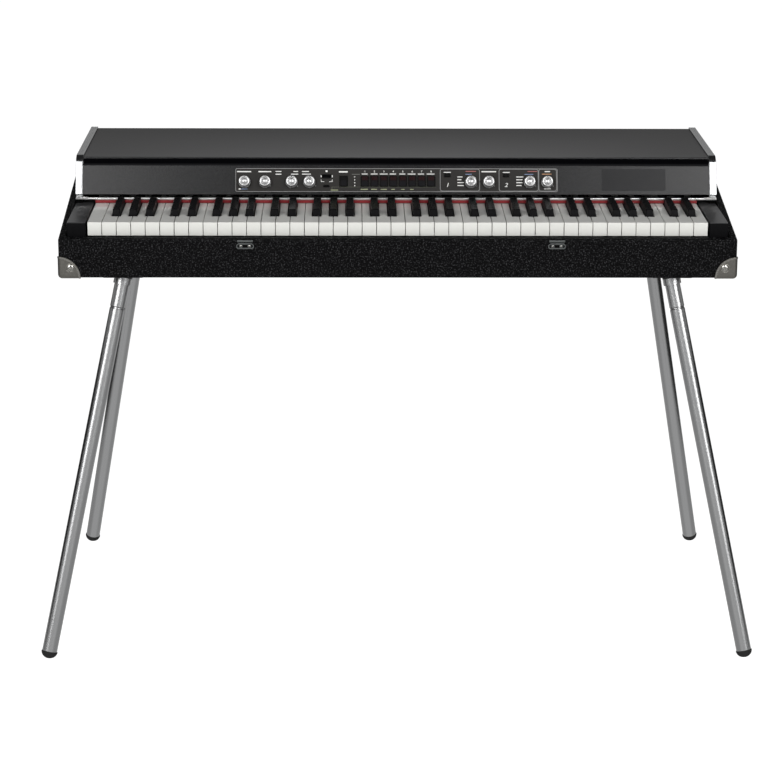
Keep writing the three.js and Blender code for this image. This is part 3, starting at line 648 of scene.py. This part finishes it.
def rounder(outline, radius, steps=8):
    """The outline with a wider arc where the sloping front meets the top."""
    top = max(z for _, z in outline)
    slope = math.tan(TILT)
    reach = max(slope * z - y for y, z in outline)
    corner = Vector((slope * top - reach, top))
    length = radius / math.tan((math.pi / 2 + TILT) / 2)
    middle = corner + Vector((length, -radius))
    arc = [(middle.x + radius * math.cos(turn), middle.y + radius * math.sin(turn))
           for turn in (math.pi / 2 + (math.pi / 2 - TILT) * step / steps for step in range(steps + 1))]
    kept = [(Vector(point) - corner).length > AT_CORNER_SHARE * length for point in outline]
    gap = next(at for at in range(len(outline)) if kept[at - 1] and not kept[at])
    around = zip(outline[gap:] + outline[:gap], kept[gap:] + kept[:gap])
    return [point for point, stays in around if stays] + arc


def end_caps():
    """Cast caps with rounded edges and three grooves round their outside, painted black below the rail's
    foot: painted shade under the rail.
    """
    rows = list(CAP_EDGE)
    for middle in CAP_GROOVES:
        rows += [(middle + across, sunk) for across, sunk in CAP_GROOVE]
    rail_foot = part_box("cover_rail")[0].z
    for name in ("left_end_cap", "right_end_cap"):
        low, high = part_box(name)
        width = (high.x - low.x) / MM
        outline = rounder(side_outline(name), CAP_CORNER)
        all_rows = rows + [(width - x, inset) for x, inset in reversed(CAP_EDGE)]
        form = bmesh.new()
        loops = [[form.verts.new((low.x + x * MM, y, z)) for y, z in drawn_in(outline, inset * MM)]
                 for x, inset in all_rows]
        bridge(form, loops)
        form.faces.new(loops[0])
        form.faces.new(loops[-1])
        bmesh.ops.recalc_face_normals(form, faces=form.faces)
        cut_faces(form, (0, 0, rail_foot), (0, 0, 1))
        # Painted shade: faces below the rail's foot are black
        for face in form.faces:
            face.material_index = int(face.calc_center_median().z < rail_foot)
        show(name + "_cast", form, [cap_metal, black_paint_and_shade], stands_for=[name])


TAB_SIZE = (22, 9.6)
TAB_CORNER = 4.6
TAB_THICKNESS = 1.1
TAB_INSET = 11.2 * MM
TAB_AHEAD = 1 * MM
TAB_SCREW = 3.6
TAB_SCREW_OFFSET = 2.5


def rail_and_felt():
    """The rail with a screwed tab at each end, the felt under it and the blocks beside the keys."""
    rail = soften(from_node("cover_rail"), 0.5 * MM, segments=2)
    show("rail_strip", rail, rail_metal, stands_for=["cover_rail"])
    low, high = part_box("cover_rail")
    for word, side in SIDES.items():
        tab = prism(rounded(*TAB_SIZE, TAB_CORNER, 8), 0, TAB_THICKNESS, 0.3)
        seat = Matrix.Translation((-side * TAB_SCREW_OFFSET, 0, TAB_THICKNESS))
        form = joined([marked(tab, 0), screwed(seat, TAB_SCREW, 1)])
        at = (side * (high.x - TAB_INSET), (low.y + high.y) / 2 - TAB_AHEAD, high.z)
        moved(form, Matrix.Translation(at) @ Matrix.Scale(MM, 4))
        show(word + "_rail_tab", form, [rail_metal, screw_metal])
    strip = soften(from_node("key_felt"), 0.8 * MM)
    show("felt_strip", strip, felt, stands_for=["key_felt"])
    for name in ("left_cheek_block", "right_cheek_block"):
        block = soften(from_node(name), 1.6 * MM)
        for face in block.faces:
            # Tops take the paler copy: painted light
            face.material_index = int(face.normal.z < 0.6)
        show(name + "_painted", block, [cheek_top_painted_light, cheek_front], stands_for=[name])


# Control panel

KNOB_SHARES = {
    "volume_knob": 0.0288, "reverb_knob": 0.0926, "bass_knob": 0.1745, "treble_knob": 0.2296,
    "effect_1_rate_knob": 0.7298, "effect_1_depth_knob": 0.7854, "effect_2_depth_knob": 0.9123,
    "drive_knob": 0.9669,
}
KNOBS = {name: (share - 0.5) * PANEL_WIDTH for name, share in KNOB_SHARES.items()}
KNOB_ROW = 17.2
BUTTON_ROW = 18.5
PRESETS = [(0.4017 + 0.0293 * index - 0.5) * PANEL_WIDTH for index in range(8)]
PRESET_NAMES = [f"preset_button_{index + 1}" for index in range(8)]
BANK = (0.3358 - 0.5) * PANEL_WIDTH
EFFECTS = {"effect_button_1": (85.2, 29), "effect_button_2": (183.7, 29)}

# Printed bars that stand where the panel has words: x, s, width, height
WORD = 1.9
SMALL = 1.4
BARS = {
    "white": [
        (-256.1, 35, 23.8, WORD), (-221.3, 35, 21.7, WORD), (-198.4, 35.3, 9.9, SMALL),
        (-198.4, 30.6, 9.9, SMALL), (-169.4, 35.3, 8.2, SMALL), (-171.4, 30.8, 12.2, SMALL),
        (-153.1, 35.3, 11.6, SMALL), (-151.4, 30.8, 15, SMALL), (-263.2, 5.3, 3.8, WORD),
        (-89.6, 34.8, 15, 2.3), (-53.8, 31.1, 9.8, SMALL), (-37.9, 31.1, 11.6, SMALL),
        (-21.8, 31.1, 13.6, SMALL), (-6.4, 31.1, 10.8, SMALL), (9.4, 31.1, 10.3, SMALL),
        (25, 31.1, 13.1, SMALL), (40.8, 31.1, 10.3, SMALL), (57.1, 31.1, 13.1, SMALL),
        (85, 34.1, 12, SMALL), (106.3, 26.3, 8.8, SMALL), (105.3, 21.5, 6.9, SMALL),
        (107.4, 16.5, 10.9, SMALL), (107.4, 11.6, 10.9, SMALL), (154.8, 35.3, 24.7, WORD),
        (184.2, 34.1, 11.4, SMALL), (206.8, 26.3, 11.9, SMALL), (206.2, 21.5, 10.6, SMALL),
        (206.5, 16.5, 11.2, SMALL), (205.3, 11.6, 8.9, SMALL), (253.4, 35.6, 9.1, 1.7),
        (253.4, 6, 11.6, 1.1), (-126.8, 27.2, 1.3, 3.3), (-108.1, 27.2, 1.3, 4.2),
        (-126.7, 19.5, 0.8, 3.8), (-108.2, 19.5, 0.8, 3.8), (-124.3, 17.9, 5.5, 0.8),
        (-110.6, 17.9, 5.5, 0.8),
    ],
    "green": [(-54.4, 4.9, 12.1, 1.3), (-38.1, 4.9, 9.8, 1.3), (-21.7, 4.9, 10.4, 1.3),
              (-6.3, 4.9, 6.4, 1.2), (10.3, 4.9, 5.7, 1), (25.3, 4.9, 6.4, 1.2),
              (-104.2, 3.6, 12.6, 1.3)],
    "moss": [(-21.5, 8.8, 174.5, 0.5), (-108.7, 6.8, 0.8, 4.3)],
    "dim": [(-68.6, 30.6, 13.3, 0.9)],
    "red": [(124.5, 35.8, 17.4, 1.3), (228.2, 35.8, 16.5, 1.1)],
    "blue": [(120.9, 30.8, 10.8, 1.2), (222.3, 30.8, 14.8, 1.1), (-255.4, 5.3, 10.8, 0.9)],
    "orange": [(252.3, 31.2, 16.5, 1.1)],
}
MARKS = [(-212.2, 10.8), (-166.6, 10.3), (-136.1, 10.8), (134.4, 10.9), (164, 10.9), (233.3, 10.9),
         (263.1, 10.9)]
LAMP_ROWS = (26.1, 21.1, 16, 11.1)
LAMP_PLACE = -70.5
LAMP_RADIUS = 1
LAMP_HEIGHT = 0.7
LAMP_FOOT = 0.3
SLOT_PLACE = (-118, 10.3)
PRINT_SUNK = 0.05
PRINT_PROUD = 0.07


def digit(text, size, at, lean=0.0):
    """One printed number, as a thin solid on the panel."""
    curve = bpy.data.curves.new("digit", "FONT")
    curve.body = text
    curve.size = size
    curve.shear = lean
    curve.align_x = "CENTER"
    curve.align_y = "CENTER"
    curve.extrude = 0.06
    curve.offset = 0.012 * size
    thing = placed("digit", curve)
    bpy.context.view_layer.update()
    mesh = bpy.data.meshes.new_from_object(thing.evaluated_get(bpy.context.evaluated_depsgraph_get()))
    form = bmesh.new()
    form.from_mesh(mesh)
    bpy.data.meshes.remove(mesh)
    bpy.data.objects.remove(thing)
    bpy.data.curves.remove(curve)
    for face in form.faces:
        face.material_index = 0
    return moved(form, Matrix.Translation((*at, PANEL_FACE)))


def bar(x, s, width, height):
    """A printed bar with round ends."""
    outline = rounded(width, height, 0.3 * min(width, height), 2, (x, s))
    return prism(outline, PANEL_FACE - PRINT_SUNK, PANEL_FACE + PRINT_PROUD)


def frame_line(x, s, width, height, radius, line):
    """A printed outline round a field of the panel."""
    inner = rounded(width - 2 * line, height - 2 * line, max(radius - line, 0.2), 6, (x, s))
    outer = rounded(width, height, radius, 6, (x, s))
    return ring(outer, inner, PANEL_FACE - PRINT_SUNK, PANEL_FACE + PRINT_PROUD)


def prints():
    middle = PANEL_HEIGHT / 2
    forms = {name: [bar(*place) for place in places] for name, places in BARS.items()}
    forms["line"] = [
        frame_line(0, middle, PANEL_WIDTH - 1, PANEL_HEIGHT - 1, 3, 0.9),
        frame_line(106.2, middle + 0.2, 67.1, 38.6, 4.2, 1),
        frame_line(205, middle + 0.2, 66.8, 38.6, 4.2, 1),
        frame_line(253.8, middle + 0.2, 30.8, 38.6, 4.2, 1),
        *(bar(x, s, 1.8, 1.8) for x, s in MARKS),
    ]
    forms["white"] += [digit(str(index + 1), 4.3, (x, 35.3)) for index, x in enumerate(PRESETS)]
    forms["white"] += [digit("1", 9.6, (85, 12.2), 0.3), digit("2", 9.6, (183.7, 12.2), 0.3)]
    forms["white"] += [bar(-117.7, 35.8, 3.5, 3.2)]
    for name, group in forms.items():
        show("panel_print_" + name, moved(joined(group), PANEL), inks[name])


def panel():
    """The plate with its prints, the lamps beside the bank button and the small slot."""
    plate = soften(from_node("control_panel"), 0.25 * MM, segments=1)
    show("panel_plate", plate, panel_paint, stands_for=["control_panel"])
    prints()
    turns = [math.pi / 2 * step / 5 for step in range(5, -1, -1)]
    dome = [(LAMP_RADIUS * math.cos(turn), LAMP_HEIGHT * math.sin(turn)) for turn in turns]
    lens = [*dome, (LAMP_RADIUS, -LAMP_FOOT), (0, -LAMP_FOOT)]
    lamps = [moved(lathe(lens, 24), Matrix.Translation((LAMP_PLACE, s, PANEL_FACE))) for s in LAMP_ROWS]
    show("bank_lamps", moved(joined(lamps), PANEL), lamp)
    slot_rim = ring(rounded(11.1, 4.3, 2.1, 6), rounded(9.6, 2.8, 1.3, 6), 0, 0.6)
    slot_floor = prism(rounded(10, 3.2, 1.5, 6), 0, 0.25)
    form = moved(joined([marked(slot_rim, 0), marked(slot_floor, 1)]),
                 PANEL @ Matrix.Translation((*SLOT_PLACE, PANEL_FACE - PRINT_SUNK)))
    show("small_slot", form, [button_black, black_paint_and_shade])


KNOB_GAP = 0.3
KNOB_STEM_END = -13.7
KNOB_RADIUS = 9.3
KNURLS = 48
KNURL_SHARE = 0.975


def knobs():
    """Turned knobs with a knurled wall, a ringed face and a dark pointer line."""
    foot = PANEL_FACE + KNOB_GAP
    stem_foot = KNOB_STEM_END - foot
    outline = [
        (0, 11.6), (1.8, 11.5), (3.3, 11.1), (4.3, 10.5), (4.9, 9.9), (5.2, 9.7), (5.5, 9.9), (5.8, 10.6),
        (6.3, 11.2), (7, 11.5), (7.8, 11.5), (8.5, 11.3), (9, 10.8), (KNOB_RADIUS, 10.1), (KNOB_RADIUS, 2.6),
        (9.5, 2.4), (9.9, 2.2), (10.1, 1.8), (10.1, 0.3), (9.9, 0), (3, 0), (3, stem_foot), (0, stem_foot)]
    for node, x in KNOBS.items():
        form = lathe(outline, 2 * KNURLS)
        for vert in form.verts:
            on_wall = abs(math.hypot(vert.co.x, vert.co.y) - KNOB_RADIUS) < 0.01
            if on_wall and math.cos(KNURLS * math.atan2(vert.co.y, vert.co.x)) < 0:
                vert.co.xy *= KNURL_SHARE
        mark = slab(-0.4, 0.4, 6.2, 8.4, 11.2, 11.7, 0.1, 1)
        form = joined([marked(form, 0), marked(mark, 1)])
        moved(form, PANEL @ Matrix.Translation((x, KNOB_ROW, foot)))
        show(node + "_turned", form, [knob_metal, black_paint_and_shade], node, [node])


BUTTON_PROUD = 2.2
BUTTON_ROUNDING = 0.4 * MM
FIELD_WIDTH = 10.4
FIELD_SUNK = 0.4


def field(height, radius, at, proud, softness, index):
    """A raised field on a button's face, in one of the button's materials."""
    top = PANEL_FACE + BUTTON_PROUD
    outline = rounded(FIELD_WIDTH, height, radius, 3, at)
    return marked(prism(outline, top - FIELD_SUNK, top + proud, softness), index)


def buttons():
    """Caps with a red lens over a grey field on the presets, and a grey field on the bank button."""
    presets = {node: (x, BUTTON_ROW) for node, x in zip(PRESET_NAMES, PRESETS)}
    places = {"bank_button": (BANK, BUTTON_ROW), **presets, **EFFECTS}
    for node, (x, s) in places.items():
        cap = marked(soften(from_node(node), BUTTON_ROUNDING, segments=2), 0)
        fields = []
        if node in PRESET_NAMES:
            fields = [field(6.6, 0.7, (x, s + 4.7), 0.1, 0.15, 1), field(8.4, 0.8, (x, s - 4), 0.4, 0.25, 2)]
        elif node == "bank_button":
            fields = [field(9.4, 0.8, (x, s - 3.4), 0.4, 0.25, 2)]
        form = joined([cap] + [moved(part, PANEL) for part in fields])
        show(node + "_cap", form, [button_black, lens_red, button_grey], node, [node])


# Keys

WHITE_ROUNDING = 0.6 * MM
BLACK_ROUNDING = 1.2 * MM
ABOVE_WHITE = 1 * MM


def white_edge(edge):
    """Whether an edge lies in the white keys' tops or fronts."""
    ends = [vert.co for vert in edge.verts]
    return all(end.z > KEY_HIGH.z - WELD for end in ends) or all(end.y < KEY_LOW.y + WELD for end in ends)


def black_edge(edge):
    """Whether an edge reaches above the white keys."""
    return max(vert.co.z for vert in edge.verts) > KEY_HIGH.z + ABOVE_WHITE


def keys():
    """Keys with soft edges; white fronts, and all but the tops of black keys, are painted a shade darker:
    painted shade.
    """
    groups = [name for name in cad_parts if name.startswith(("low_", "white_key", "black_key"))]
    for node in sorted(groups):
        white = "white" in node
        form = from_node(node)
        if white:
            soften(form, WHITE_ROUNDING, white_edge)
        else:
            soften(form, BLACK_ROUNDING, black_edge, 4)
        for face in form.faces:
            # Painted shade: white fronts and black keys below their tops take the darker copy
            face.material_index = int(face.normal.y < -0.5 if white else face.normal.z < 0.8)
        finishes = [white_key, white_front_shade] if white else [black_key, black_sides_shade]
        show(node + "_plastic", form, finishes, node, [node])


# Legs

CASE_HALF = CASE_HIGH.x
LEG_TOPS = {"front": -165.7, "rear": 195.3}
LEG_INSET = 102.5 * MM
PLATE_THICKNESS = 3.5 * MM
LEG_SPLAY = {"front": Vector((129, -136, -623.5)), "rear": Vector((112, 106.4, -623.5))}

# Legs, in millimetres; groove and collar band are measured down the tube from the case's underside
TUBE_RADIUS = 12.4
TUBE_BORE = 10.4
TUBE_TOP = 8.5
GROOVE = 61
GROOVE_SECTION = [(2.4, 0), (1.9, 0), (1.5, 0.5), (0.8, 0.9), (-0.8, 0.9), (-1.5, 0.5), (-1.9, 0), (-2.4, 0)]
GROOVE_WALL = 1.6
TIP_LENGTH = 11
TIP_GAP = 0.3
TIP_RADIUS = 13.4
TIP_DOME = 12
TIP_PLUG = 10.1
TIP_PLUG_LENGTH = 12
COLLAR_RADIUS = 15.2
COLLAR_BAND = (8, 10.4)
SOCKET_SCREW_REACH = 25.5
SOCKET_SCREW = 3.6


def leg_place(where, side):
    """The frame of one leg: its top at the origin, z up along the tube, in millimetres."""
    top = Vector((side * (CASE_HALF - LEG_INSET), LEG_TOPS[where] * MM, CASE_LOW.z))
    splay = LEG_SPLAY[where]
    down = Vector((side * splay.x, splay.y, splay.z))
    return Matrix.Translation(top) @ towards(-down) @ Matrix.Scale(MM, 4)


def tube_outline(end):
    """A hollow tube with a groove near its top, from its top down."""
    groove = [(TUBE_RADIUS - sunk, above - GROOVE) for above, sunk in GROOVE_SECTION]
    return [(0, -TUBE_TOP), (TUBE_RADIUS - 0.5, -TUBE_TOP), (TUBE_RADIUS, -TUBE_TOP - 0.5),
            (TUBE_RADIUS, -TUBE_TOP - 1.1), *groove, (TUBE_RADIUS, 1.2 - end), (TUBE_RADIUS, 0.5 - end),
            (TUBE_RADIUS - 0.3, -end), (TUBE_BORE, -end), (TUBE_BORE, -GROOVE - 6), (0, -GROOVE - 6)]


def tip_outline(start):
    """A rubber tip: a plug in the tube, a rim and a dome."""
    turns = [math.pi / 2 * step / 12 for step in range(1, 12)]
    dome = [(TIP_RADIUS * math.cos(turn), -start - TIP_DOME * math.sin(turn)) for turn in turns]
    top = TIP_PLUG_LENGTH - start
    return [(0, top), (TIP_PLUG, top), (TIP_PLUG, -start),
            (TIP_RADIUS - 0.4, -start), (TIP_RADIUS, -start - 0.5), *dome, (0, -start - TIP_DOME)]


def leg_tube(name, place, end):
    """A chromed tube, with painted shade on the two walls of its groove."""
    barrel = lathe(tube_outline(end), 64)
    for face in barrel.faces:
        at = face.calc_center_median()
        on_wall = abs(abs(at.z + GROOVE) - GROOVE_WALL) < 0.5 and math.hypot(at.x, at.y) > 11
        face.material_index = int(on_wall)
    show(name + "_tube", moved(barrel, place), [chrome, groove_painted_shade],
         stands_for=[name + "_leg"])


def leg_tip(name, place, end):
    """A rubber tip, cut flat where it stands on the floor."""
    tip = moved(lathe(tip_outline(end + TIP_GAP), 48), place)
    cut_faces(tip, (0, 0, 0), (0, 0, 1), clear_inner=True)
    bmesh.ops.holes_fill(tip, edges=[edge for edge in tip.edges if edge.is_boundary])
    show(name + "_foot_cap", tip, rubber, stands_for=[name + "_rubber_foot"])


def leg_socket(name, place):
    """A black socket with four screws, its collar bright but for a narrow black band."""
    socket = soften(from_node(name + "_leg_socket"), 0.7 * MM, longer(20 * MM), 2)
    inverse = place.inverted()
    axis = place.to_3x3() @ Vector((0, 0, 1))
    for depth in COLLAR_BAND:
        cut_faces(socket, place @ Vector((0, 0, -depth)), axis)
    for face in socket.faces:
        at = inverse @ face.calc_center_median()
        on_collar = math.hypot(at.x, at.y) < COLLAR_RADIUS and -20 < at.z < -5
        on_band = COLLAR_BAND[0] < -at.z < COLLAR_BAND[1]
        face.material_index = int(on_collar and not on_band)
    forms = [socket]
    centre = place.translation - Vector((0, 0, PLATE_THICKNESS))
    for x, y in CORNERS:
        at = centre + SOCKET_SCREW_REACH * MM * Vector((x, y, 0))
        forms.append(screwed(Matrix.Translation(at) @ towards((0, 0, -1)), SOCKET_SCREW * MM, 2))
    show(name + "_socket_cast", joined(forms), [socket_black, chrome, screw_metal],
         stands_for=[name + "_leg_socket"])


def legs():
    """A tube, a rubber tip and a screwed socket at each of the four places."""
    for where in LEG_TOPS:
        end = LEG_SPLAY[where].length - TIP_LENGTH
        for word, side in SIDES.items():
            name = f"{where}_{word}"
            place = leg_place(where, side)
            leg_tube(name, place, end)
            leg_tip(name, place, end)
            leg_socket(name, place)


# Rear and inside

JACKS = (0, 24, 48)
INLET = 44
INLET_PINS = ((-5, -2), (5, -2), (0, 3))
PLATE_SCREWS = (69, 20)
PLATE_SCREW = 3


def jack_plate():
    """The rear plate with three jack sockets and a three-pole inlet, seen from behind."""
    low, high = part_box("jack_panel")
    turn = Matrix(((-1, 0, 0), (0, 0, 1), (0, 1, 0))).transposed().to_4x4()
    middle = (low.z + high.z) / 2
    face = Matrix.Translation((0, high.y, middle)) @ turn @ Matrix.Scale(MM, 4)
    plate = marked(soften(from_node("jack_panel"), 0.4 * MM, longer(20 * MM), 2), 0)
    forms = [plate]
    for x in JACKS:
        nut = lathe([(3.4, 0), (3.4, 2.2), (4, 2.6), (6.2, 2.6), (6.6, 2.2), (6.6, 0)], 6)
        collar = lathe([(3.3, -3), (3.3, 3.4), (3.6, 3.7), (4.3, 3.7), (4.6, 3.4), (4.6, 0)], 32)
        forms += [marked(moved(form, face @ Matrix.Translation((-x, 0, 0))), 1) for form in (nut, collar)]
    rim = ring(rounded(30, 22, 2.5), rounded(24, 16.5, 0.4), -0.2, 1.4)
    inlet = face @ Matrix.Translation((INLET, 0, 0))
    forms.append(marked(moved(rim, inlet), 0))
    for x, y in INLET_PINS:
        pin = slab(x - 1, x + 1, y - 2.2, y + 2.2, -15, -5, 0.3, 1)
        forms.append(marked(moved(pin, inlet), 1))
    for x, y in CORNERS:
        at = Matrix.Translation((x * PLATE_SCREWS[0], y * PLATE_SCREWS[1], 0))
        forms.append(screwed(face @ at, PLATE_SCREW, 1))
    show("jack_plate", joined(forms), [jack_black, contact_metal], stands_for=["jack_panel"])


BOARD_FOOT = -22.7
BOARD_TOP = -20.9
DATA_SOCKET = -117.5


def inner_board():
    """The circuit board: green sheet, metal parts behind the knobs, black parts elsewhere."""
    form = from_node("main_board")
    inverse = PANEL.inverted()
    for face in form.faces:
        at = inverse @ face.calc_center_median()
        near_knob = min(abs(at.x - x) for x in KNOBS.values()) < 7 and at.z > BOARD_TOP
        near_socket = abs(at.x - DATA_SOCKET) < 9 and at.z > BOARD_TOP
        flat = BOARD_FOOT < at.z < BOARD_TOP
        face.material_index = 0 if flat else 1 if near_knob and not near_socket else 2
    show("board_with_parts", form, [board_green, contact_metal, jack_black],
         stands_for=["main_board"])


def key_frame():
    """The key chassis keeps its CAD mesh and gets a better material."""
    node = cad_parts["key_chassis"]
    node.data.materials.clear()
    node.data.materials.append(zinc)


case()
protectors()
latch_keepers()
cover()
end_caps()
rail_and_felt()
panel()
knobs()
buttons()
keys()
legs()
jack_plate()
inner_board()
key_frame()


# Stage

FLOOR_HALF = 40
DOME_RADIUS = 38

# The studio's light low down and overhead, and the share of it that is left towards the sides
WORLD_LOW = 0.42
WORLD_TOP = 0.04
WORLD_FLANK = 0.7

# Lights on the right, in metres; the left ones mirror them: place, aim, size, watts
SOFTBOX = ((1.75, -3, 2.6), (1.05, 0, 0.75), (1.8, 2), 82)
STRIP = ((4, -4.4, 1.6), (0.5, -0.3, 0.5), (2.4, 0.8), 16)

# Black cards beside the legs
FLAG_X = 1.3
FLAG_HALF = 0.005
FLAG_DEPTHS = (-0.35, 1.1)
FLAG_HEIGHTS = (0.02, 0.6)


def emitting(name, strength):
    """A pale finish that glows by itself, so that no shadow greys it."""
    finish = Finish(name, (0.2, 0.2, 0.2), 0.9)
    finish.shader.inputs["Emission Color"].default_value = (1, 1, 1, 1)
    finish.shader.inputs["Emission Strength"].default_value = strength
    return finish.material


def on_stage(name, form, finish):
    """A thing of the stage, which reflections don't show."""
    mesh = as_mesh(name, form)
    mesh.materials.append(finish)
    thing = placed(name, mesh)
    thing.visible_glossy = False
    return thing


def stage():
    """A white floor, and round everything a white dome that only the camera sees."""
    floor = bmesh.new()
    bmesh.ops.create_grid(floor, x_segments=1, y_segments=1, size=FLOOR_HALF)
    on_stage("floor", floor, emitting("floor_white", 1))
    dome = on_stage("backdrop", ball(DOME_RADIUS, (0, 0, 0)), emitting("backdrop_white", 1))
    dome.visible_diffuse = False
    dome.visible_transmission = False
    dome.visible_shadow = False


def area_light(name, side, at, aim, size, power):
    """A soft lamp on one side, given by its place and aim on the right side."""
    at, aim = ((side * spot[0], *spot[1:]) for spot in (at, aim))
    light = bpy.data.lights.new(name, "AREA")
    light.shape = "RECTANGLE"
    light.size, light.size_y = size
    light.energy = power
    direction = Vector(aim) - Vector(at)
    turn = direction.to_track_quat("-Z", "Y").to_matrix().to_4x4()
    placed(name, light).matrix_world = Matrix.Translation(at) @ turn


def flag(name, x):
    """A black card beside the legs, which only reflections show."""
    card = slab(x - FLAG_HALF, x + FLAG_HALF, *FLAG_DEPTHS, *FLAG_HEIGHTS)
    thing = on_stage(name, card, rubber)
    thing.visible_glossy = True
    thing.visible_camera = False
    thing.visible_diffuse = False
    thing.visible_shadow = False


def studio():
    """Pale low down in front and behind, dark overhead and towards the sides."""
    world = bpy.data.worlds.new("studio")
    world.use_nodes = True
    tree = world.node_tree

    def add(kind, inputs=None, **settings):
        return add_node(tree, kind, inputs, **settings).outputs

    def between(value, low, high, start, end):
        return add("ShaderNodeMapRange", {"Value": value, "From Min": start, "From Max": end,
                                          "To Min": low, "To Max": high}, interpolation_type="SMOOTHSTEP")[0]

    direction = add("ShaderNodeTexCoord")["Generated"]
    part = add("ShaderNodeSeparateXYZ", {"Vector": direction})
    sideways = add("ShaderNodeMath", {0: part["X"]}, operation="ABSOLUTE")[0]
    behind = between(part["Y"], 0, 0.2, 0.1, 0.6)
    above = add("ShaderNodeMath", {0: part["Z"], 1: behind}, operation="SUBTRACT")[0]
    height = between(above, WORLD_LOW, WORLD_TOP, 0.1, 0.32)
    flank = between(sideways, 1, WORLD_FLANK, 0.5, 0.85)
    level = add("ShaderNodeMath", {0: height, 1: flank}, operation="MULTIPLY")[0]
    tree.links.new(level, tree.nodes["Background"].inputs["Strength"])
    tree.nodes["Background"].inputs["Color"].default_value = (1, 1, 1, 1)
    bpy.context.scene.world = world


def camera():
    """The camera at the photograph's place, turned by its yaw, pitch and roll."""
    ahead = Vector((math.sin(YAW) * math.cos(PITCH), math.cos(YAW) * math.cos(PITCH), -math.sin(PITCH)))
    level = Vector((math.cos(YAW), -math.sin(YAW), 0))
    down = ahead.cross(level)
    across = math.cos(ROLL) * level + math.sin(ROLL) * down
    below = math.cos(ROLL) * down - math.sin(ROLL) * level
    lens = bpy.data.cameras.new("camera")
    lens.lens = LENS
    lens.sensor_width = SENSOR
    thing = placed("camera", lens)
    turn = Matrix((across, -below, -ahead)).transposed().to_4x4()
    thing.matrix_world = Matrix.Translation(EYE) @ turn
    bpy.context.scene.camera = thing


stage()
studio()
camera()
for word, side in SIDES.items():
    area_light(word + "_softbox", side, *SOFTBOX)
    area_light(word + "_strip", side, *STRIP)
    flag(word + "_flag", FLAG_X * side)
bpy.context.scene.view_settings.view_transform = "Standard"
